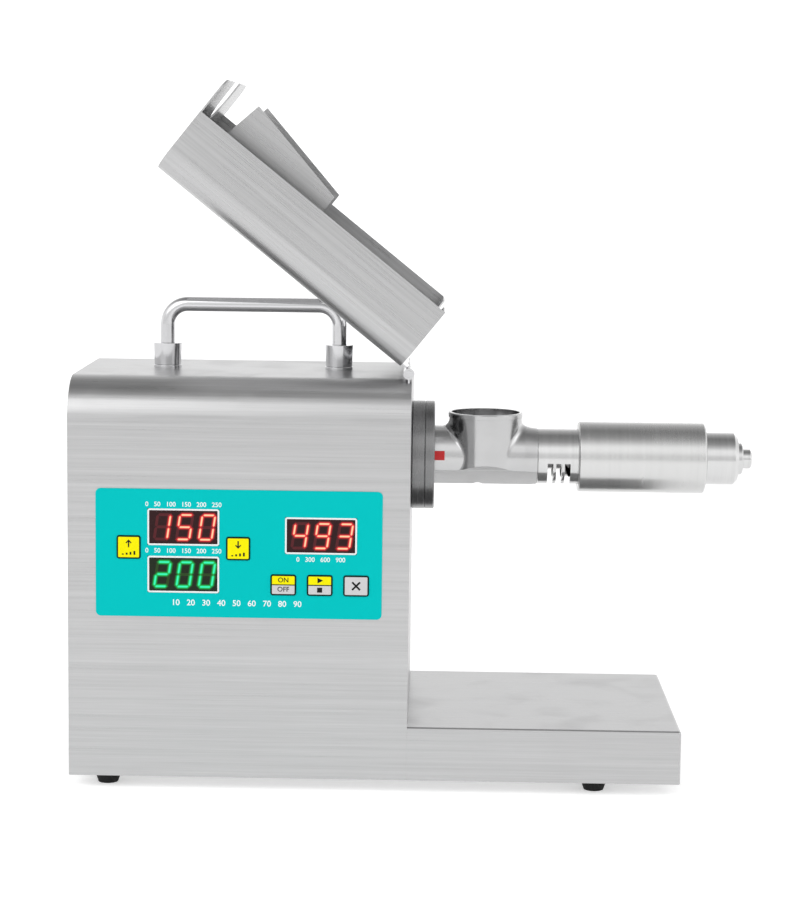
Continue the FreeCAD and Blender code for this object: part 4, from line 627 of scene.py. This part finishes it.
# %% Tinted glass that glows along the bars
def glowing_glass(name, glass, unlit, rim, core):
    """Dark glass whose emission follows the stored distances, in millimetres."""
    material = bpy.data.materials.new(name)
    material.use_nodes = True
    tree = material.node_tree
    shader = tree.nodes["Principled BSDF"]
    shader.inputs["Specular IOR Level"].default_value = 0.12
    shader.inputs["Roughness"].default_value = 0.12
    shader.inputs["Emission Strength"].default_value = 1.0
    lit = place(tree, "ShaderNodeAttribute", attribute_name="lit").outputs["Fac"]
    dark = place(tree, "ShaderNodeAttribute", attribute_name="dark").outputs["Fac"]
    grain_noise = place(tree, "ShaderNodeTexNoise", {"Vector": place(tree, "ShaderNodeTexCoord").outputs["Object"],
                                                     "Scale": 900.0, "Detail": 2.0})
    base = mixed(tree, ranged(tree, dark, 0.12, -0.12, 0.0, 1.0), rgb(*glass), rgb(*unlit))
    halo = ranged(tree, lit, 1.6, 0.0, 0.0, 1.0, smooth=True)
    halo = number(tree, "MULTIPLY", number(tree, "MULTIPLY", halo, halo), 0.42)
    glow = mixed(tree, halo, base, rgb(*rim))
    glow = mixed(tree, ranged(tree, lit, 0.18, -0.12, 0.0, 1.0, smooth=True), glow, rgb(*rim))
    glow = mixed(tree, ranged(tree, lit, -0.15, -0.75, 0.0, 1.0, smooth=True), glow, rgb(*core))
    tree.links.new(glow, shader.inputs["Emission Color"])
    tree.links.new(mixed(tree, grain_noise.outputs[0], rgb(0.004, 0.004, 0.004), rgb(0.02, 0.012, 0.012)),
                   shader.inputs["Base Color"])
    return material


red_glass = glowing_glass("red_display_glass", (0.018, 0.001, 0.002), (0.085, 0.008, 0.012), (1.0, 0.035, 0.045),
                          (1.0, 0.72, 0.42))
green_glass = glowing_glass("green_display_glass", (0.001, 0.014, 0.002), (0.012, 0.055, 0.006), (0.0, 0.62, 0.10),
                            (0.03, 1.0, 0.55))
for label, figures, glass in (("temperature_now", "150", red_glass), ("temperature_set", "200", green_glass),
                              ("time_left", "493", red_glass)):
    finish_piece(display_glass(label + "_glass", WINDOW_CENTRES[label], figures), glass, "cabinet")
print("figures lit: 150, 200, 493")

# %% [markdown]
# ## Printed keys
# The keys are flat caps with a dark border: yellow for the arrows, yellow over grey for the two switches and
# grey for the last one. A cap is its rounded outline drawn in step by step, first round the soft shoulder and
# then across the face. Each point keeps its distance from the border and its height, which is all that the
# print needs. In a press the cap moves with its own body.

# %% Shape and print the caps
KEY_BORDER = 0.95
CAP_Y = FRONT_Y + 0.05


def key_cap(name, low, high):
    """p(u, v): outline drawn in by inset(v) at depth y(v), from the hidden back over the shoulder to the middle."""
    half = np.array([high.x - low.x, high.z - low.z]) / 2 / MM - 1.2
    centre = np.array([high.x + low.x, high.z + low.z]) / 2 / MM
    inset = np.concatenate([[0, 0, 0.06, 0.18], np.linspace(0.35, half.min() - 0.2, 26)])
    depth = np.concatenate([[CAP_Y + 3.0, CAP_Y + 0.3, CAP_Y + 0.12, CAP_Y + 0.03], np.full(26, CAP_Y)])
    rings = [rounded_rectangle(half[0] - d, half[1] - d, max(1.6 - d, 0.1)) for d in inset]
    points = np.stack([np.column_stack([centre[0] + r[:, 0], np.full(len(r), y), centre[1] + r[:, 1]])
                       for r, y in zip(rings, depth)], axis=1)
    border = np.broadcast_to(inset, points.shape[:2])
    drop = (centre[1] + half[1] - points[:, :, 2]) / (2 * half[1])
    return grid_mesh(name, points * MM, wrap=(True, False), close=True, values={"border": border, "drop": drop})


def key_print(name, upper, lower, split):
    """Cap finish: dark border, upper and lower colour, dark line between them at the height split."""
    material = coloured(name, upper, 0.35, 1800.0, contrast=0.03, shine=0.1)
    tree = material.node_tree
    shader = tree.nodes["Principled BSDF"]
    even = shader.inputs["Base Color"].links[0].from_socket
    border = place(tree, "ShaderNodeAttribute", attribute_name="border").outputs["Fac"]
    drop = place(tree, "ShaderNodeAttribute", attribute_name="drop").outputs["Fac"]
    ink = rgb(0.004, 0.02, 0.015)
    face = mixed(tree, ranged(tree, drop, split - 0.004, split + 0.004, 0.0, 1.0), even, rgb(*lower))
    offset = number(tree, "ABSOLUTE", number(tree, "SUBTRACT", drop, split))
    line = ranged(tree, offset, 0.030, 0.022, 0.0, 1.0)
    rim = ranged(tree, border, KEY_BORDER, KEY_BORDER - 0.1, 0.0, 1.0)
    tree.links.new(mixed(tree, number(tree, "MAXIMUM", line, rim), face, ink), shader.inputs["Base Color"])
    return material


arrow_print = key_print("arrow_key_print", YELLOW, YELLOW, 2.0)
switch_print = key_print("switch_key_print", YELLOW, KEY_GREY, 0.49)
clear_print = key_print("clear_key_print", KEY_GREY, KEY_GREY, 2.0)
KEY_LOOKS = {"temperature_up_key": (arrow_print, "key_yellow"), "temperature_down_key": (arrow_print, "key_yellow"),
             "on_off_key": (switch_print, "key_two_tone"), "press_stop_key": (switch_print, "key_two_tone"),
             "clear_key": (clear_print, "key_grey")}
key_middles = {}
for key, (look, slot_name) in KEY_LOOKS.items():
    low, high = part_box(key)
    key_middles[key] = ((low.x + high.x) / 2 / MM, (low.z + high.z) / 2 / MM)
    finish_piece(key_cap(key + "_cap", low, high), look, key, key)
print("caps:", len(KEY_LOOKS))

# %% [markdown]
# ## Ink
# Screen printing lays a thin flat film of ink. Simple signs are outlines given a little thickness; figures and
# the words on the power key come from the built-in font, turned into meshes and then given the same thickness.

# %% Lay the ink
INK = 0.045


def ink_shape(name, outline, y, material, body):
    """Closed film over a flat outline of (x, z) points in millimetres, with its back at y."""
    flat = np.array(outline, dtype=float)
    count = len(flat)
    points = np.concatenate([np.column_stack([flat[:, 0], np.full(count, y - t), flat[:, 1]]) for t in (INK, 0)])
    faces = [list(range(count)), list(range(count, 2 * count))[::-1]]
    faces += [[i, (i + 1) % count, count + (i + 1) % count, count + i] for i in range(count)]
    mesh = bpy.data.meshes.new(name)
    mesh.from_pydata((points * MM).tolist(), [], faces)
    return finish_piece(as_object(name, mesh), material, body)


def ink_text(name, text, size, x, z, y, material, body):
    """Centred figures or words of the built-in font as a closed film, size in millimetres."""
    curve = bpy.data.curves.new(name, "FONT")
    curve.body, curve.size, curve.align_x, curve.align_y = text, size, "CENTER", "CENTER"
    curve.extrude, curve.offset = INK / 2, 0.012 * size
    letters = bpy.data.objects.new(name, curve)
    bpy.context.collection.objects.link(letters)
    bpy.context.view_layer.update()
    mesh = bpy.data.meshes.new_from_object(letters.evaluated_get(bpy.context.evaluated_depsgraph_get()))
    bpy.data.objects.remove(letters)
    turn = Matrix.Translation((x * MM, (y - INK / 2) * MM, z * MM)) @ Matrix.Rotation(math.pi / 2, 4, "X")
    mesh.transform(turn @ Matrix.Scale(MM, 4))
    return finish_piece(as_object(name, mesh), material, body)


dark_ink = coloured("dark_ink", (0.012, 0.012, 0.012), 0.4, 1500.0, shine=0.1)
white_ink = coloured("white_ink", (0.90, 0.92, 0.92), 0.4, 1500.0, contrast=0.02, shine=0.1)
ARROW = np.array([(-0.45, -2.6), (0.45, -2.6), (0.45, 1.0), (1.5, -0.1), (2.05, 0.45), (0.0, 2.6), (-2.05, 0.45),
                  (-1.5, -0.1), (-0.45, 1.0)])
for key, sign in (("temperature_up_key", 1), ("temperature_down_key", -1)):
    x, z = key_middles[key]
    ink_shape(key + "_arrow", ARROW * (1, sign) + (x, z + 2.6), CAP_Y, dark_ink, key)
    for order in range(4):
        bar = np.array([(-0.6, 0), (0.6, 0), (0.6, 0.8 + 0.6 * order), (-0.6, 0.8 + 0.6 * order)])
        ink_shape(key + "_step_%d" % order, bar + (x + 2.6 * (order - 1.5), z - 5.2), CAP_Y, dark_ink, key)
x, z = key_middles["on_off_key"]
ink_text("power_on_word", "ON", 4.6, x, z + 3.3, CAP_Y, dark_ink, "on_off_key")
ink_text("power_off_word", "OFF", 4.6, x, z - 3.0, CAP_Y, dark_ink, "on_off_key")
x, z = key_middles["press_stop_key"]
ink_shape("start_triangle", [(x - 1.5, z + 1.5), (x + 2.3, z + 3.4), (x - 1.5, z + 5.3)], CAP_Y, dark_ink,
          "press_stop_key")
ink_shape("stop_square", [(x - 1.7, z - 4.8), (x + 1.7, z - 4.8), (x + 1.7, z - 1.4), (x - 1.7, z - 1.4)], CAP_Y,
          dark_ink, "press_stop_key")
x, z = key_middles["clear_key"]
CROSS = np.array([(0, 0.9), (2.2, 3.1), (3.1, 2.2), (0.9, 0), (3.1, -2.2), (2.2, -3.1), (0, -0.9), (-2.2, -3.1),
                  (-3.1, -2.2), (-0.9, 0), (-3.1, 2.2), (-2.2, 3.1)])
ink_shape("clear_cross", CROSS + (x, z), CAP_Y, dark_ink, "clear_key")
NUMBER_ROWS = {"now_scale": ("0   50   100   150   200   250", 4.4, 59.1, 10.4),
               "set_scale": ("0   50   100   150   200   250", 4.4, 59.1, 41.9),
               "time_scale": ("0   300   600   900", 4.4, 151.6, 46.6),
               "panel_scale": ("10   20   30   40   50   60   70   80   90", 5.6, 95.0, 77.2)}
for label, (text, size, across, down) in NUMBER_ROWS.items():
    x, z = at_panel(across, down)
    ink_text(label, text, size, x, z, FILM_Y, white_ink, "cabinet")
print("ink signs and scales laid")
